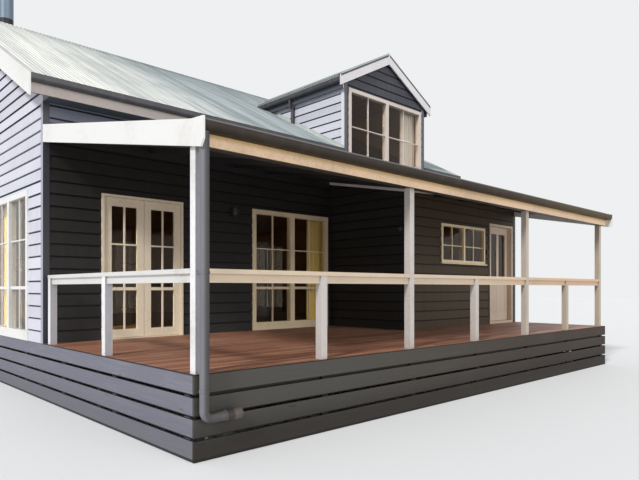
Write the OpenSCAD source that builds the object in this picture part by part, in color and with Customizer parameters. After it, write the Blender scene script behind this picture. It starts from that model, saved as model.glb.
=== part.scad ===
// Timber beach house: an attic storey under a steep metal roof with one gabled
// dormer, a sunroom, and a deck with a lean-to verandah along the front.
// Millimetres. In plan x runs along the front from the left gable, y runs from
// the front edge of the deck to the back, and z is height above the ground.

/* [House] */
// Length along the front, between the two gable faces
house_w = 9700; // [9500:10:9900]
// Depth from the front wall to the rear wall
house_d = 8800; // [8600:20:9200]
// Height of the floor and the deck above the ground
floor_z = 785; // [760:5:860]
// Thickness of the framed walls with their lining
wall_t = 130; // [110:5:140]
// Depth kept in front of the framed walls for the cladding boards
clad = 20; // [15:1:25]

/* [Verandah] */
// Depth of the deck, from its front edge to the front wall
deck_d = 4000; // [3950:10:4050]
// Height of the underside of the verandah beam above the deck
beam_low = 2070; // [2050:5:2100]
// Rise of the verandah roof for each metre of depth
lean_rise = 195.5; // [190:0.5:200]
// Side of the square posts
post = 90; // [80:1:100]
// Distance from one tall post to the next
post_pitch = 3150; // [3120:5:3160]
// Height of the top of the handrail above the deck
rail_h = 961; // [900:1:1000]

/* [Sunroom] */
// Left face of the sunroom
sun_x = 5690; // [5640:10:5720]
// Front face of the sunroom
sun_y = 1980; // [1900:10:2050]

/* [Roof] */
// Pitch of the main roof and the dormer roof in degrees
pitch = 28.1; // [27.5:0.1:28.4]
// Height of the roof surface above the floor at the front wall
roof_at_wall = 3810; // [3790:5:3830]
// How far the roof passes the gable faces
gable_over = 300; // [250:10:350]
// Height of the boxed eaves above the floor
soffit_h = 3400; // [3380:5:3410]

/* [Dormer] */
// Middle of the dormer along the front
dormer_x = 7080; // [7060:2:7100]
// Width of the dormer across its cladding
dormer_w = 2732; // [2720:2:2760]
// Height of the dormer ridge above the floor
dormer_top = 5920; // [5900:5:5940]

/* [Doors] */
// Left edge of the French door frame
french_x = 834; // [800:2:860]
// Width of the French door frame
french_w = 1375; // [1360:1:1400]
// Height of the French door frame
french_h = 2210; // [2190:5:2230]
// Left edge of the entry door frame
entry_x = 8550; // [8540:2:8550]
// Height of the entry door frame
entry_h = 2190; // [2150:5:2210]
// Gap around every door leaf
leaf_gap = 6; // [6:0.5:8]

/* [Windows] */
// Left edge of the full-height window by the French doors
dining_x = 3647; // [3600:5:3660]
// Width of each full-height window
tall_w = 1942; // [1930:2:1950]
// Height of each full-height window
tall_h = 2245; // [2200:5:2260]
// Distance of each gable window from the nearest corner of the house
gable_window_in = 660; // [600:10:700]
// Left edge of the sunroom window
sun_window_x = 6730; // [6700:5:6760]
// Width of the sunroom window
sun_window_w = 1620; // [1600:5:1650]

/* [Hidden] */
$fn = 48;

slate = "#3a3f48";
cream = "#e6e0cf";
white = "#ece9e2";
zinc = "#8f9c98";
timber = "#8a5540";
hollow_cut = 1;
// Hair of room where one piece is seated on another along a slope
seat = 0.05;

// Main levels and lines
rear_y = deck_d + house_d;
ridge_y = deck_d + house_d / 2;
main_gutter_w = 90;
main_gutter_h = 100;
main_gutter_low = 3540;
main_fascia_y = deck_d - 300;
fascia_t = 25;
soffit_t = 12;
verandah_gutter_w = 120;
verandah_gutter_h = 100;
verandah_gutter_low = 2180;
gutter_t = 3;
gutter_back = 45;
front_tip_y = -154;
mid_x = house_w / 2;
mid_y = (front_tip_y + 2 * ridge_y - (main_fascia_y - main_gutter_w)) / 2;

// Roof planes
roof_t = 130;
sheet_t = 20;
dormer_roof_t = 110;
lean_t = 40;
rafter_h = 90;
rafter_t = 45;
rake_h = 235;
flashing_up = 60;
barge_t = 28;
barge_h = 305;
rise = tan(pitch);
dormer_half = dormer_w / 2;
dormer_eave = dormer_half + 170;
dormer_left = dormer_x - dormer_half;
dormer_right = dormer_x + dormer_half;
// The dormer stands in line with the eave, a little in front of its fascia
dormer_y = main_fascia_y - 60;
dormer_in = clad + wall_t;
// Depth of the dormer's eave fascias below the edge of its roof
eave_foot = 235;

// Skirt boards: the gaps fall at even steps below the deck
skirt_t = 25;
skirt_pitch = 196;
skirt_gap = 28;
skirt_first = 193;
batten = 35;
batten_w = 90;
frame_in = skirt_t + batten;
board_t = 25;
joist_w = 50;
joist_h = 120;
bearer_low = floor_z - board_t - 2 * joist_h;

// Posts and rails
post_y = 40;
post_x = [for (i = [0:3]) post_y + i * post_pitch];
cap_t = 45;
cap_w = 100;
low_rail_h = 84;
low_rail_t = 42;
side_post_y = [2000, 3820];
beam_y0 = 30;
beam_y1 = 130;

// Doors and windows
leaf_t = 40;
french_leaf_y = deck_d + 10;
entry_leaf_y = sun_y + 90;
jamb = 40;
entry_jamb = 45;
entry_w = 1000;
threshold = 15;
entry_threshold = 50;
meeting_gap = leaf_gap + 2;
frame_out = 12;
frame_d = 100;
glass_t = 6;
glass_in = 40;
border = 84;
mid_stile = 108;
foot_rail = 145;
sun_sill = 1295;
sun_head = 2060;
small_border = 50;
small_mid = 60;
attic_w = 1400;
attic_sill = 3650;
attic_head = 4850;
dormer_window_w = 2470;
dormer_sill = 3500;
dormer_head = 4926;
rear_small_x = [1200, 6880];
rear_tall_x = (house_w - tall_w) / 2;

// Leaves of the doors and their hinges
knuckle = 10;
knuckle_h = 33;
knuckle_gap = 1;
hinge_in = 190;
plate_t = 3;
plate_w = 36;
french_leaf_w = (french_w - 2 * jamb - 2 * leaf_gap - meeting_gap) / 2;
french_leaf_low = threshold + leaf_gap;
french_leaf_h = french_h - jamb - leaf_gap - french_leaf_low;
french_stile = 113;
french_foot = 124;
french_head = 127;
french_light = french_leaf_w - 2 * french_stile;
french_light_h = french_leaf_h - french_foot - french_head;
bar = 24;
bar_deep = 22;
entry_leaf_w = entry_w - 2 * entry_jamb - 2 * leaf_gap;
entry_leaf_low = entry_threshold + leaf_gap;
entry_leaf_h = entry_h - entry_jamb - leaf_gap - entry_leaf_low;
entry_stile = 125;
entry_mid = 90;
entry_light_w = (entry_leaf_w - 2 * entry_stile - entry_mid) / 2;
entry_light_low = 950;
entry_light_h = entry_leaf_h - entry_light_low - 150;

function up(h) = floor_z + h;
function roof_z(y) = up(roof_at_wall) + (y - deck_d) * rise;
function under_roof(y) = roof_z(y) - roof_t;
function lean_z(y) = up(2285) + y * lean_rise / 1000;
function dormer_z(x) = up(dormer_top) - abs(x - dormer_x) * rise;
function hinge_lows(height) = [for (i = [0:2]) hinge_in + i * (height / 2 - hinge_in - 1.5 * knuckle_h)];
beam_top = lean_z(beam_y1) - lean_t - rafter_h;
beam_seat = beam_top + seat;

// Helpers
module at_origin() { translate([-mid_x, -mid_y, 0]) children(); }
module box(a, b) { translate(a) cube(b - a); }
module run_x(x0, x1) { translate([x0, 0, 0]) rotate([90, 0, 90]) linear_extrude(x1 - x0) children(); }
module run_y(y0, y1) { translate([0, y1, 0]) rotate([90, 0, 0]) linear_extrude(y1 - y0) children(); }
module other_end() { translate([house_w, 0, 0]) mirror([1, 0, 0]) children(); }
module other_side() { translate([0, 2 * ridge_y, 0]) mirror([0, 1, 0]) children(); }
module other_cheek() { translate([2 * dormer_x, 0, 0]) mirror([1, 0, 0]) children(); }
module both_ends() { children(); other_end() children(); }
module both_sides() { children(); other_side() children(); }
module both_cheeks() { children(); other_cheek() children(); }

// Outline of a wall that reaches up to the front slope of the main roof
module front_wall_profile(low) {
    polygon([[deck_d + clad, low], [deck_d + clad + wall_t, low],
        [deck_d + clad + wall_t, under_roof(deck_d + clad + wall_t)],
        [deck_d + clad, under_roof(deck_d + clad)]]);
}

// Frame of one window in its own plane: a border, a middle stile and a foot rail
module window_outline(w, h, edge, mid, foot) {
    light = (w - 2 * edge - mid) / 2;
    difference() {
        square([w, h]);
        for (i = [0, 1]) translate([edge + i * (light + mid), foot]) square([light, h - foot - edge]);
    }
}
module glass_outline(w, h, edge, mid, foot) {
    light = (w - 2 * edge - mid) / 2;
    for (i = [0, 1]) translate([edge + i * (light + mid), foot]) square([light, h - foot - edge]);
}
// Stands a window outline in a wall that faces the front: x, face of the wall, sill
module in_front(x, face, z, from, to) {
    translate([x, face + to, z]) rotate([90, 0, 0]) linear_extrude(to - from) children();
}
// Stands a window outline in a wall that faces the left gable
module in_gable(y, z, from, to) {
    translate([from, y, z]) rotate([90, 0, 90]) linear_extrude(to - from) children();
}

// Gutter section: flat bottom, round front corner, a bead on the front lip and a lower back
module trough(w, h, r) {
    difference() {
        square([w, h]);
        translate([w - r, 0]) difference() {
            square([r, r]);
            translate([0, r]) circle(r);
        }
    }
}
module gutter_section(w, h) {
    bead = 12;
    r = w * 0.45;
    difference() {
        trough(w, h, r);
        translate([gutter_t, gutter_t]) trough(w - 2 * gutter_t, h, r - gutter_t);
        translate([-hollow_cut, h - gutter_back]) square([gutter_t + 2 * hollow_cut, h]);
    }
    translate([w - bead / 2, h - bead / 2]) circle(d = bead);
}
module gutter_run(w, h, y_back, z_low, x0, x1, end_h) {
    run_x(x0, x1) translate([y_back, z_low]) mirror([1, 0]) gutter_section(w, h);
    for (x = [x0, x1 - gutter_t]) run_x(x, x + gutter_t)
        translate([y_back, z_low]) mirror([1, 0]) trough(w, end_h, w * 0.45);
}

// One skirt: spaced boards joined by upright battens, the first one near the left end
module skirt(length, first, step) {
    gap_tops = [for (i = [0:2]) up(-skirt_first - i * skirt_pitch) + skirt_gap / 2];
    difference() {
        cube([length, skirt_t, floor_z]);
        for (z = gap_tops) translate([-hollow_cut, -hollow_cut, z - skirt_gap])
            cube([length + 2 * hollow_cut, skirt_t + 2 * hollow_cut, skirt_gap]);
    }
    for (x = [first : step : length - batten_w]) translate([x, skirt_t, 0])
        cube([batten_w, batten, floor_z - board_t]);
}

module stumps() {
    side = 120;
    rows = [for (i = [0:6]) frame_in + i * (rear_y - 2 * frame_in - side) / 6];
    cols = [for (i = [0:3]) frame_in + i * (house_w - 2 * frame_in - side) / 3];
    color("#8c8a84") at_origin()
        for (x = cols, y = rows) box([x, y, 0], [x + side, y + side, bearer_low]);
}

// Bearers over the rows of stumps, and joists laid across them
module floor_bearers() {
    side = 120;
    color("#7d6a50") at_origin() for (i = [0:6]) {
        y = frame_in + i * (rear_y - 2 * frame_in - side) / 6;
        box([frame_in, y, bearer_low], [house_w - frame_in, y + side, bearer_low + joist_h]);
    }
}

module floor_joists() {
    last = 13;
    color("#7d6a50") at_origin() for (i = [0:last]) {
        x = frame_in + i * (house_w - 2 * frame_in - joist_w) / last;
        box([x, frame_in, bearer_low + joist_h], [x + joist_w, rear_y - frame_in, floor_z - board_t]);
    }
}

module deck_floor() {
    far = house_w - skirt_t;
    color(timber) at_origin() translate([0, 0, floor_z - board_t]) linear_extrude(board_t)
        polygon([[skirt_t, skirt_t], [far, skirt_t], [far, sun_y], [sun_x, sun_y],
            [sun_x, deck_d], [skirt_t, deck_d]]);
}

module house_floor() {
    far = house_w - skirt_t;
    color("#a07850") at_origin() translate([0, 0, floor_z - board_t]) linear_extrude(board_t)
        polygon([[skirt_t, deck_d], [sun_x, deck_d], [sun_x, sun_y], [far, sun_y],
            [far, rear_y - skirt_t], [skirt_t, rear_y - skirt_t]]);
}

module upper_floor() {
    inner = clad + wall_t;
    color("#b08c62") at_origin()
        box([inner, deck_d + inner, up(2650)], [house_w - inner, rear_y - inner, up(2800)]);
}

// The battens of the long skirts stand in line with the posts of the verandah
module front_and_rear_skirts() {
    color(slate) at_origin() {
        skirt(house_w, post_y, post_pitch / 2);
        other_side() translate([0, 2 * ridge_y - rear_y, 0]) skirt(house_w, post_y, post_pitch / 2);
    }
}

module side_skirts() {
    length = rear_y - 2 * skirt_t;
    color(slate) at_origin() both_ends() translate([0, rear_y - skirt_t, 0]) rotate([0, 0, -90])
        skirt(length, batten_w, (length - 3 * batten_w) / 8);
}

// Front wall on both sides of the French doors
module front_wall() {
    color(slate) at_origin() {
        run_x(clad + wall_t, french_x) front_wall_profile(floor_z);
        difference() {
            run_x(french_x + french_w, sun_x + clad + wall_t) front_wall_profile(floor_z);
            in_front(dining_x, deck_d, floor_z - hollow_cut, 0, 2 * wall_t)
                square([tall_w, tall_h + hollow_cut]);
        }
    }
}

// Walls over the French doors, over the open side of the sunroom and over the entry door;
// the second is low inside the dormer
module walls_over_openings() {
    color(slate) at_origin() {
        run_x(french_x, french_x + french_w) front_wall_profile(up(french_h));
        difference() {
            run_x(sun_x + clad + wall_t, house_w - clad - wall_t) front_wall_profile(up(2400));
            box([dormer_left + dormer_in, deck_d, up(dormer_sill)],
                [dormer_right - dormer_in, deck_d + 2 * wall_t, up(dormer_top)]);
        }
        run_x(entry_x, entry_x + entry_w) sunroom_wall_profile(up(entry_h));
    }
}

// Wall between the verandah and the sunroom, cut to the slope of the verandah roof
module sunroom_side_wall() {
    y0 = sun_y + clad;
    y1 = deck_d + clad;
    color(slate) at_origin() run_x(sun_x + clad, sun_x + clad + wall_t)
        polygon([[y0, floor_z], [y1, floor_z], [y1, lean_z(deck_d) - lean_t],
            [deck_d, lean_z(deck_d) - lean_t], [y0, lean_z(y0) - lean_t]]);
}

module sunroom_wall_profile(low) {
    y0 = sun_y + clad;
    y1 = y0 + wall_t;
    polygon([[y0, low], [y1, low], [y1, lean_z(y1) - lean_t], [y0, lean_z(y0) - lean_t]]);
}

module sunroom_front_wall() {
    color(slate) at_origin() difference() {
        run_x(sun_x + clad + wall_t, entry_x) sunroom_wall_profile(floor_z);
        in_front(sun_window_x, sun_y, up(sun_sill), 0, 2 * wall_t)
            square([sun_window_w, sun_head - sun_sill]);
    }
}

// Window openings of one gable: a full-height one near each corner and one in the attic
module gable_openings() {
    for (y = [deck_d + gable_window_in, rear_y - gable_window_in - tall_w])
        in_gable(y, floor_z - hollow_cut, 0, 2 * wall_t) square([tall_w, tall_h + hollow_cut]);
    in_gable(ridge_y - attic_w / 2, up(attic_sill), 0, 2 * wall_t)
        square([attic_w, attic_head - attic_sill]);
}

module gable_outline() {
    y0 = deck_d + clad;
    y1 = rear_y - clad;
    polygon([[y0, floor_z], [y1, floor_z], [y1, under_roof(y0)], [ridge_y, under_roof(ridge_y)],
        [y0, under_roof(y0)]]);
}

module left_gable_wall() {
    color(slate) at_origin() difference() {
        run_x(clad, clad + wall_t) gable_outline();
        gable_openings();
    }
}

// The right gable wall runs on under the lean-to as the end wall of the sunroom
module right_gable_wall() {
    y0 = sun_y + clad;
    color(slate) at_origin() other_end() difference() {
        run_x(clad, clad + wall_t) {
            gable_outline();
            polygon([[y0, floor_z], [deck_d + clad, floor_z], [deck_d + clad, lean_z(deck_d) - lean_t],
                [deck_d, lean_z(deck_d) - lean_t], [y0, lean_z(y0) - lean_t]]);
        }
        gable_openings();
    }
}

module rear_wall() {
    color(slate) at_origin() difference() {
        other_side() run_x(clad + wall_t, house_w - clad - wall_t) front_wall_profile(floor_z);
        for (x = rear_small_x) in_front(x, rear_y - 2 * wall_t, up(sun_sill), 0, 2 * wall_t)
            square([sun_window_w, sun_head - sun_sill]);
        in_front(rear_tall_x, rear_y - 2 * wall_t, floor_z - hollow_cut, 0, 2 * wall_t)
            square([tall_w, tall_h + hollow_cut]);
    }
}

// Angle of two boards round an outer corner, standing in the depth of the cladding
module corner_board(x, y, sx, sy, low, high) {
    leg = 90;
    translate([x, y, low]) linear_extrude(high - low) mirror([sx < 0 ? 1 : 0, 0])
        mirror([0, sy < 0 ? 1 : 0])
        polygon([[0, 0], [leg, 0], [leg, clad], [clad, clad], [clad, leg], [0, leg]]);
}

module corner_boards() {
    top = up(soffit_h);
    sun_top = lean_z(sun_y) - lean_t;
    color(slate) at_origin() {
        corner_board(0, deck_d, 1, 1, floor_z, top);
        corner_board(0, rear_y, 1, -1, floor_z, top);
        corner_board(house_w, rear_y, -1, -1, floor_z, top);
        corner_board(house_w, deck_d, -1, 1, lean_z(deck_d) + flashing_up, top);
        corner_board(sun_x, sun_y, 1, 1, floor_z, sun_top);
        corner_board(house_w, sun_y, -1, 1, floor_z, lean_z(sun_y) - rake_h);
        both_cheeks() difference() {
            intersection() {
                corner_board(dormer_left, dormer_y, 1, 1, up(soffit_h) + soffit_t, up(dormer_top));
                below_dormer_roof();
            }
            below_main_roof(dormer_y + clad, ridge_y);
        }
    }
}

// Frames and panes of each kind of window, in its own plane
module small_frame(w, h) { window_outline(w, h, small_border, small_mid, small_border); }
module small_glass(w, h) { glass_outline(w, h, small_border, small_mid, small_border); }
module tall_frame() { window_outline(tall_w, tall_h, border, mid_stile, foot_rail); }
module tall_glass() { glass_outline(tall_w, tall_h, border, mid_stile, foot_rail); }
module sun_frame() { small_frame(sun_window_w, sun_head - sun_sill); }
module sun_glass() { small_glass(sun_window_w, sun_head - sun_sill); }
module dormer_frame() { window_outline(dormer_window_w, dormer_head - dormer_sill, 75, 85, 60); }
module dormer_panes() { glass_outline(dormer_window_w, dormer_head - dormer_sill, 75, 85, 60); }
module attic_frame() { small_frame(attic_w, attic_head - attic_sill); }
module attic_glass() { small_glass(attic_w, attic_head - attic_sill); }

// Sloping sill that stands out below a small window
module sill(x0, x1, face, z) {
    run_x(x0, x1) polygon([[face - 45, z - 30], [face + clad, z - 30], [face + clad, z],
        [face - frame_out, z], [face - 45, z - 8]]);
}

module front_window_frames() {
    color(cream) at_origin() {
        in_front(dining_x, deck_d, floor_z, -frame_out, frame_d) tall_frame();
        in_front(sun_window_x, sun_y, up(sun_sill), -frame_out, frame_d) sun_frame();
        sill(sun_window_x - 30, sun_window_x + sun_window_w + 30, sun_y, up(sun_sill));
        in_front(dormer_x - dormer_window_w / 2, dormer_y, up(dormer_sill), -frame_out, frame_d)
            dormer_frame();
    }
}

module gable_window_frames() {
    color(cream) at_origin() both_ends() {
        for (y = [deck_d + gable_window_in, rear_y - gable_window_in - tall_w])
            in_gable(y, floor_z, -frame_out, frame_d) tall_frame();
        in_gable(ridge_y - attic_w / 2, up(attic_sill), -frame_out, frame_d) attic_frame();
    }
}

module rear_window_frames() {
    color(cream) at_origin() {
        for (x = rear_small_x) in_front(x, rear_y, up(sun_sill), -frame_d, frame_out) sun_frame();
        in_front(rear_tall_x, rear_y, floor_z, -frame_d, frame_out) tall_frame();
    }
}

module window_glass() {
    near = glass_in;
    far = glass_in + glass_t;
    color("#9fb4bd") at_origin() {
        in_front(dining_x, deck_d, floor_z, near, far) tall_glass();
        in_front(sun_window_x, sun_y, up(sun_sill), near, far) sun_glass();
        in_front(dormer_x - dormer_window_w / 2, dormer_y, up(dormer_sill), near, far) dormer_panes();
        for (x = rear_small_x) in_front(x, rear_y, up(sun_sill), -far, -near) sun_glass();
        in_front(rear_tall_x, rear_y, floor_z, -far, -near) tall_glass();
        both_ends() {
            for (y = [deck_d + gable_window_in, rear_y - gable_window_in - tall_w])
                in_gable(y, floor_z, near, far) tall_glass();
            in_gable(ridge_y - attic_w / 2, up(attic_sill), near, far) attic_glass();
        }
    }
}

// Doorway lining: two jambs, a head and a threshold, through the whole wall
module door_frame(x, w, h, side, face, foot) {
    deep = clad + wall_t;
    in_front(x, face, floor_z, -frame_out, deep) difference() {
        square([w, h]);
        translate([side, foot]) square([w - 2 * side, h - side - foot]);
    }
}

module french_door_frame() {
    color(cream) at_origin() door_frame(french_x, french_w, french_h, jamb, deck_d, threshold);
}

// Part of a hinge barrel round the edge x = 0, z = 0 of a leaf
module barrel(from, to, d) {
    translate([0, from, 0]) rotate([-90, 0, 0]) cylinder(d = d, h = to - from);
}
// The leaf has the ends of each barrel and is cut back round its middle part
module hinged_leaf(height) {
    difference() {
        children();
        for (low = hinge_lows(height))
            barrel(low + knuckle_h - knuckle_gap, low + 2 * knuckle_h + knuckle_gap,
                knuckle + 4 * knuckle_gap);
    }
    for (low = hinge_lows(height)) {
        barrel(low, low + knuckle_h - knuckle_gap, knuckle);
        barrel(low + 2 * knuckle_h + knuckle_gap, low + 3 * knuckle_h, knuckle);
    }
}
// The jamb has the middle part of each barrel, on a plate
module jamb_hinges(height) {
    for (low = hinge_lows(height)) {
        barrel(low + knuckle_h, low + 2 * knuckle_h, knuckle);
        translate([-leaf_gap, low + knuckle_h, -knuckle]) cube([plate_t, knuckle_h, knuckle]);
        translate([-leaf_gap, low, -plate_w]) cube([plate_t, 3 * knuckle_h, plate_w - knuckle]);
    }
}

// One leaf of the French doors with its glazing bars, hinge edge at x = 0
module french_leaf() {
    hinged_leaf(french_leaf_h) linear_extrude(leaf_t) difference() {
        square([french_leaf_w, french_leaf_h]);
        translate([french_stile, french_foot]) square([french_light, french_light_h]);
    }
    translate([french_stile, french_foot, leaf_t - bar_deep]) linear_extrude(bar_deep) {
        translate([(french_light - bar) / 2, 0]) square([bar, french_light_h]);
        translate([0, french_light_h * 0.318]) square([french_light, 2 * bar]);
        translate([0, french_light_h * 0.686]) square([french_light, bar]);
    }
}
module french_pane() {
    translate([french_stile, french_foot, leaf_t - bar_deep - glass_t]) linear_extrude(glass_t)
        square([french_light, french_light_h]);
}
// Lever on a round rose, on one face of a leaf at z = 0, pointing along -x
module lever() {
    cylinder(d = 52, h = 8);
    cylinder(d = 16, h = 44);
    translate([-118, -8, 32]) cube([126, 16, 12]);
}
module stand_left_leaf() {
    translate([french_x + jamb + leaf_gap, french_leaf_y + leaf_t, up(french_leaf_low)])
        rotate([90, 0, 0]) children();
}
module stand_right_leaf() {
    translate([2 * french_x + french_w, 0, 0]) mirror([1, 0, 0]) stand_left_leaf() children();
}

module french_door_left() { color(cream) at_origin() stand_left_leaf() french_leaf(); }
module french_door_left_glass() { color("#9fb4bd") at_origin() stand_left_leaf() french_pane(); }
module french_door_right() { color(cream) at_origin() stand_right_leaf() french_leaf(); }
module french_door_right_glass() { color("#9fb4bd") at_origin() stand_right_leaf() french_pane(); }

module french_door_handle() {
    color("silver") at_origin() stand_left_leaf()
        translate([french_leaf_w - french_stile / 2, 1000 - french_leaf_low, 0]) {
            translate([0, 0, leaf_t]) lever();
            mirror([0, 0, 1]) lever();
        }
}

module entry_door_frame() {
    color(cream) at_origin() door_frame(entry_x, entry_w, entry_h, entry_jamb, sun_y, entry_threshold);
}

// Entry leaf: two tall lights over two sunk panels, hinge edge at x = 0
module entry_leaf() {
    hinged_leaf(entry_leaf_h) difference() {
        cube([entry_leaf_w, entry_leaf_h, leaf_t]);
        for (i = [0, 1]) {
            x = entry_stile + i * (entry_light_w + entry_mid);
            translate([x, entry_light_low, -hollow_cut])
                cube([entry_light_w, entry_light_h, leaf_t + 2 * hollow_cut]);
            for (z = [-hollow_cut, leaf_t - 8]) translate([x, 200, z])
                cube([entry_light_w, entry_light_low - 340, 8 + hollow_cut]);
        }
    }
}
module stand_entry_leaf() {
    translate([2 * entry_x + entry_w, 0, 0]) mirror([1, 0, 0])
        translate([entry_x + entry_jamb + leaf_gap, entry_leaf_y + leaf_t, up(entry_leaf_low)])
        rotate([90, 0, 0]) children();
}

module entry_door() { color(cream) at_origin() stand_entry_leaf() entry_leaf(); }

module door_hinges() {
    color("silver") at_origin() {
        stand_left_leaf() jamb_hinges(french_leaf_h);
        stand_right_leaf() jamb_hinges(french_leaf_h);
        stand_entry_leaf() jamb_hinges(entry_leaf_h);
    }
}

module entry_door_glass() {
    color("#9fb4bd") at_origin() stand_entry_leaf() for (i = [0, 1])
        translate([entry_stile + i * (entry_light_w + entry_mid), entry_light_low, (leaf_t - glass_t) / 2])
            cube([entry_light_w, entry_light_h, glass_t]);
}

module entry_door_handle() {
    color("silver") at_origin() stand_entry_leaf()
        translate([entry_leaf_w - 60, 1000 - entry_leaf_low, 0]) {
            translate([0, 0, leaf_t]) lever();
            mirror([0, 0, 1]) lever();
        }
}

// One slope of the main roof: frame and battens with the sheet lapping into the gutter
module roof_slope() {
    lip = main_fascia_y - 50;
    back = main_fascia_y + fascia_t;
    run_x(barge_t - gable_over, house_w + gable_over - barge_t) polygon([[lip, roof_z(lip)],
        [ridge_y, roof_z(ridge_y)], [ridge_y, under_roof(ridge_y) + seat],
        [back, under_roof(back) + seat],
        [back, roof_z(back) - sheet_t], [lip, roof_z(lip) - sheet_t]]);
}

// The roof is open below the dormer, whose front wall stands across the eave
module main_roof_front() {
    low = up(soffit_h);
    high = up(dormer_top);
    back = deck_d - 50 + (dormer_z(dormer_left + dormer_in) - dormer_roof_t - up(roof_at_wall)) / rise;
    color(zinc) at_origin() difference() {
        roof_slope();
        box([dormer_left, dormer_y, low], [dormer_right, dormer_y + clad, high]);
        box([dormer_left + clad, dormer_y, low],
            [dormer_right - clad, dormer_y + dormer_in, high]);
        box([dormer_left + dormer_in, dormer_y, low], [dormer_right - dormer_in, back, high]);
    }
}

module main_roof_rear() { color(zinc) at_origin() other_side() roof_slope(); }

// Folded cap over a ridge at height z: two wings and a round roll, open below
module cap_section(z) {
    wing = 160;
    t = 4;
    far = 2 * wing;
    difference() {
        union() {
            polygon([[-wing, z - wing * rise], [-wing, z - wing * rise + t], [0, z + 2 * t],
                [wing, z - wing * rise + t], [wing, z - wing * rise]]);
            translate([0, z + 2 * t]) circle(d = 36);
        }
        polygon([[-far, z - far * rise], [0, z], [far, z - far * rise], [0, z - far]]);
    }
}

// The cap of the dormer is cut to the slope of the main roof, where its ridge runs into it
module ridge_caps() {
    color(zinc) at_origin() {
        run_x(barge_t - gable_over, house_w + gable_over - barge_t)
            translate([ridge_y, 0]) cap_section(roof_z(ridge_y) + seat);
        difference() {
            run_y(dormer_y - 40, ridge_y)
                translate([dormer_x, 0]) cap_section(dormer_z(dormer_x) + seat);
            below_main_roof(dormer_y - 99, ridge_y + 1);
        }
    }
}

// The barge boards run on past the fascia and close the ends of the gutters
module barge_boards() {
    top = 36;
    foot = main_fascia_y - main_gutter_w;
    mitre = ridge_y - 1;
    color(white) at_origin() both_ends() both_sides() run_x(-gable_over, barge_t - gable_over)
        polygon([[foot, roof_z(foot) + top], [mitre, roof_z(mitre) + top],
            [mitre, roof_z(mitre) + top - barge_h], [foot, roof_z(foot) + top - barge_h]]);
}

// Boxed eave: a fascia out to the barge boards, and a level soffit closed at each gable face
module eave_box() {
    back = main_fascia_y + fascia_t;
    low = sheet_t + seat;
    run_x(barge_t - gable_over, house_w + gable_over - barge_t) polygon([
        [main_fascia_y, up(soffit_h)], [back, up(soffit_h)],
        [back, roof_z(back) - low], [main_fascia_y, roof_z(main_fascia_y) - low]]);
    box([0, main_fascia_y, up(soffit_h)], [house_w, deck_d + clad, up(soffit_h) + soffit_t]);
    both_ends() run_x(0, clad) polygon([[back, up(soffit_h)], [deck_d, up(soffit_h)],
        [deck_d, under_roof(deck_d)], [back, under_roof(back)]]);
}

// The front fascia is left out where the dormer stands across it
module eaves() {
    color("#cfcabd") at_origin() {
        difference() {
            eave_box();
            box([dormer_left + clad, dormer_y, up(soffit_h) + soffit_t],
                [dormer_right - clad, deck_d, up(roof_at_wall)]);
        }
        other_side() eave_box();
    }
}

// Gutters between the barge boards, the front one in two lengths beside the dormer
module main_gutters() {
    x0 = barge_t - gable_over;
    x1 = house_w - x0;
    gap = 2;
    color(slate) at_origin() {
        for (run = [[x0, dormer_left - gap], [dormer_right + gap, x1]]) eave_gutter(run[0], run[1]);
        other_side() eave_gutter(x0, x1);
    }
}
module eave_gutter(x0, x1) {
    gutter_run(main_gutter_w, main_gutter_h, main_fascia_y, up(main_gutter_low), x0, x1,
        main_gutter_h - gutter_back);
}

// Stove flue behind the ridge: a flashing collar, the pipe and a cowl on four legs
module flue() {
    d = 280;
    x = 780;
    y = ridge_y + 340;
    top = roof_z(ridge_y) + 860;
    low = roof_z(ridge_y) - 290;
    leg = 70;
    color("#a9adb0") at_origin() {
        difference() {
            translate([x, y, low]) {
                cylinder(d = d, h = top - low);
                cylinder(d = d + 70, h = 330);
            }
            other_side() run_x(x - d, x + d) polygon([[ridge_y - 3 * d, 0], [ridge_y + d, 0],
                [ridge_y + d, roof_z(ridge_y + d) + seat],
                [ridge_y - 3 * d, roof_z(ridge_y - 3 * d) + seat]]);
        }
        translate([x, y, top]) {
            for (a = [0:90:270]) rotate([0, 0, a]) translate([d / 2 - 14, -10, 0]) cube([8, 20, leg]);
            translate([0, 0, leg]) cylinder(d = d + 90, h = 25);
        }
    }
}

// Half of the dormer's roof outline from underside to surface, with a sheet lip
module dormer_slope_outline() {
    lip = dormer_x - dormer_eave + 50;
    back = dormer_x - dormer_eave + 110;
    polygon([[dormer_x, dormer_z(dormer_x)], [dormer_x, dormer_z(dormer_x) - dormer_roof_t],
        [back, dormer_z(back) - dormer_roof_t], [back, dormer_z(back) - sheet_t],
        [lip, dormer_z(lip) - sheet_t], [lip, dormer_z(lip)]]);
}
// Everything below the surface of the front slope of the main roof, between two depths
module below_main_roof(near, far) {
    run_x(dormer_left - 999, dormer_right + 999) polygon([[near, 0],
        [far, 0], [far, roof_z(far) + seat], [near, roof_z(near) + seat]]);
}
module below_dormer_roof() {
    run_y(dormer_y, ridge_y) polygon([[dormer_left - 9, 0], [dormer_right + 9, 0],
        [dormer_right + 9, dormer_z(dormer_left - 9) - dormer_roof_t - seat],
        [dormer_x, dormer_z(dormer_x) - dormer_roof_t - seat],
        [dormer_left - 9, dormer_z(dormer_left - 9) - dormer_roof_t - seat]]);
}

module dormer_roof() {
    color(zinc) at_origin() difference() {
        run_y(dormer_y - 40, ridge_y) {
            dormer_slope_outline();
            translate([2 * dormer_x, 0]) mirror([1, 0]) dormer_slope_outline();
        }
        below_main_roof(dormer_y - 99, ridge_y + 1);
    }
}

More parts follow.
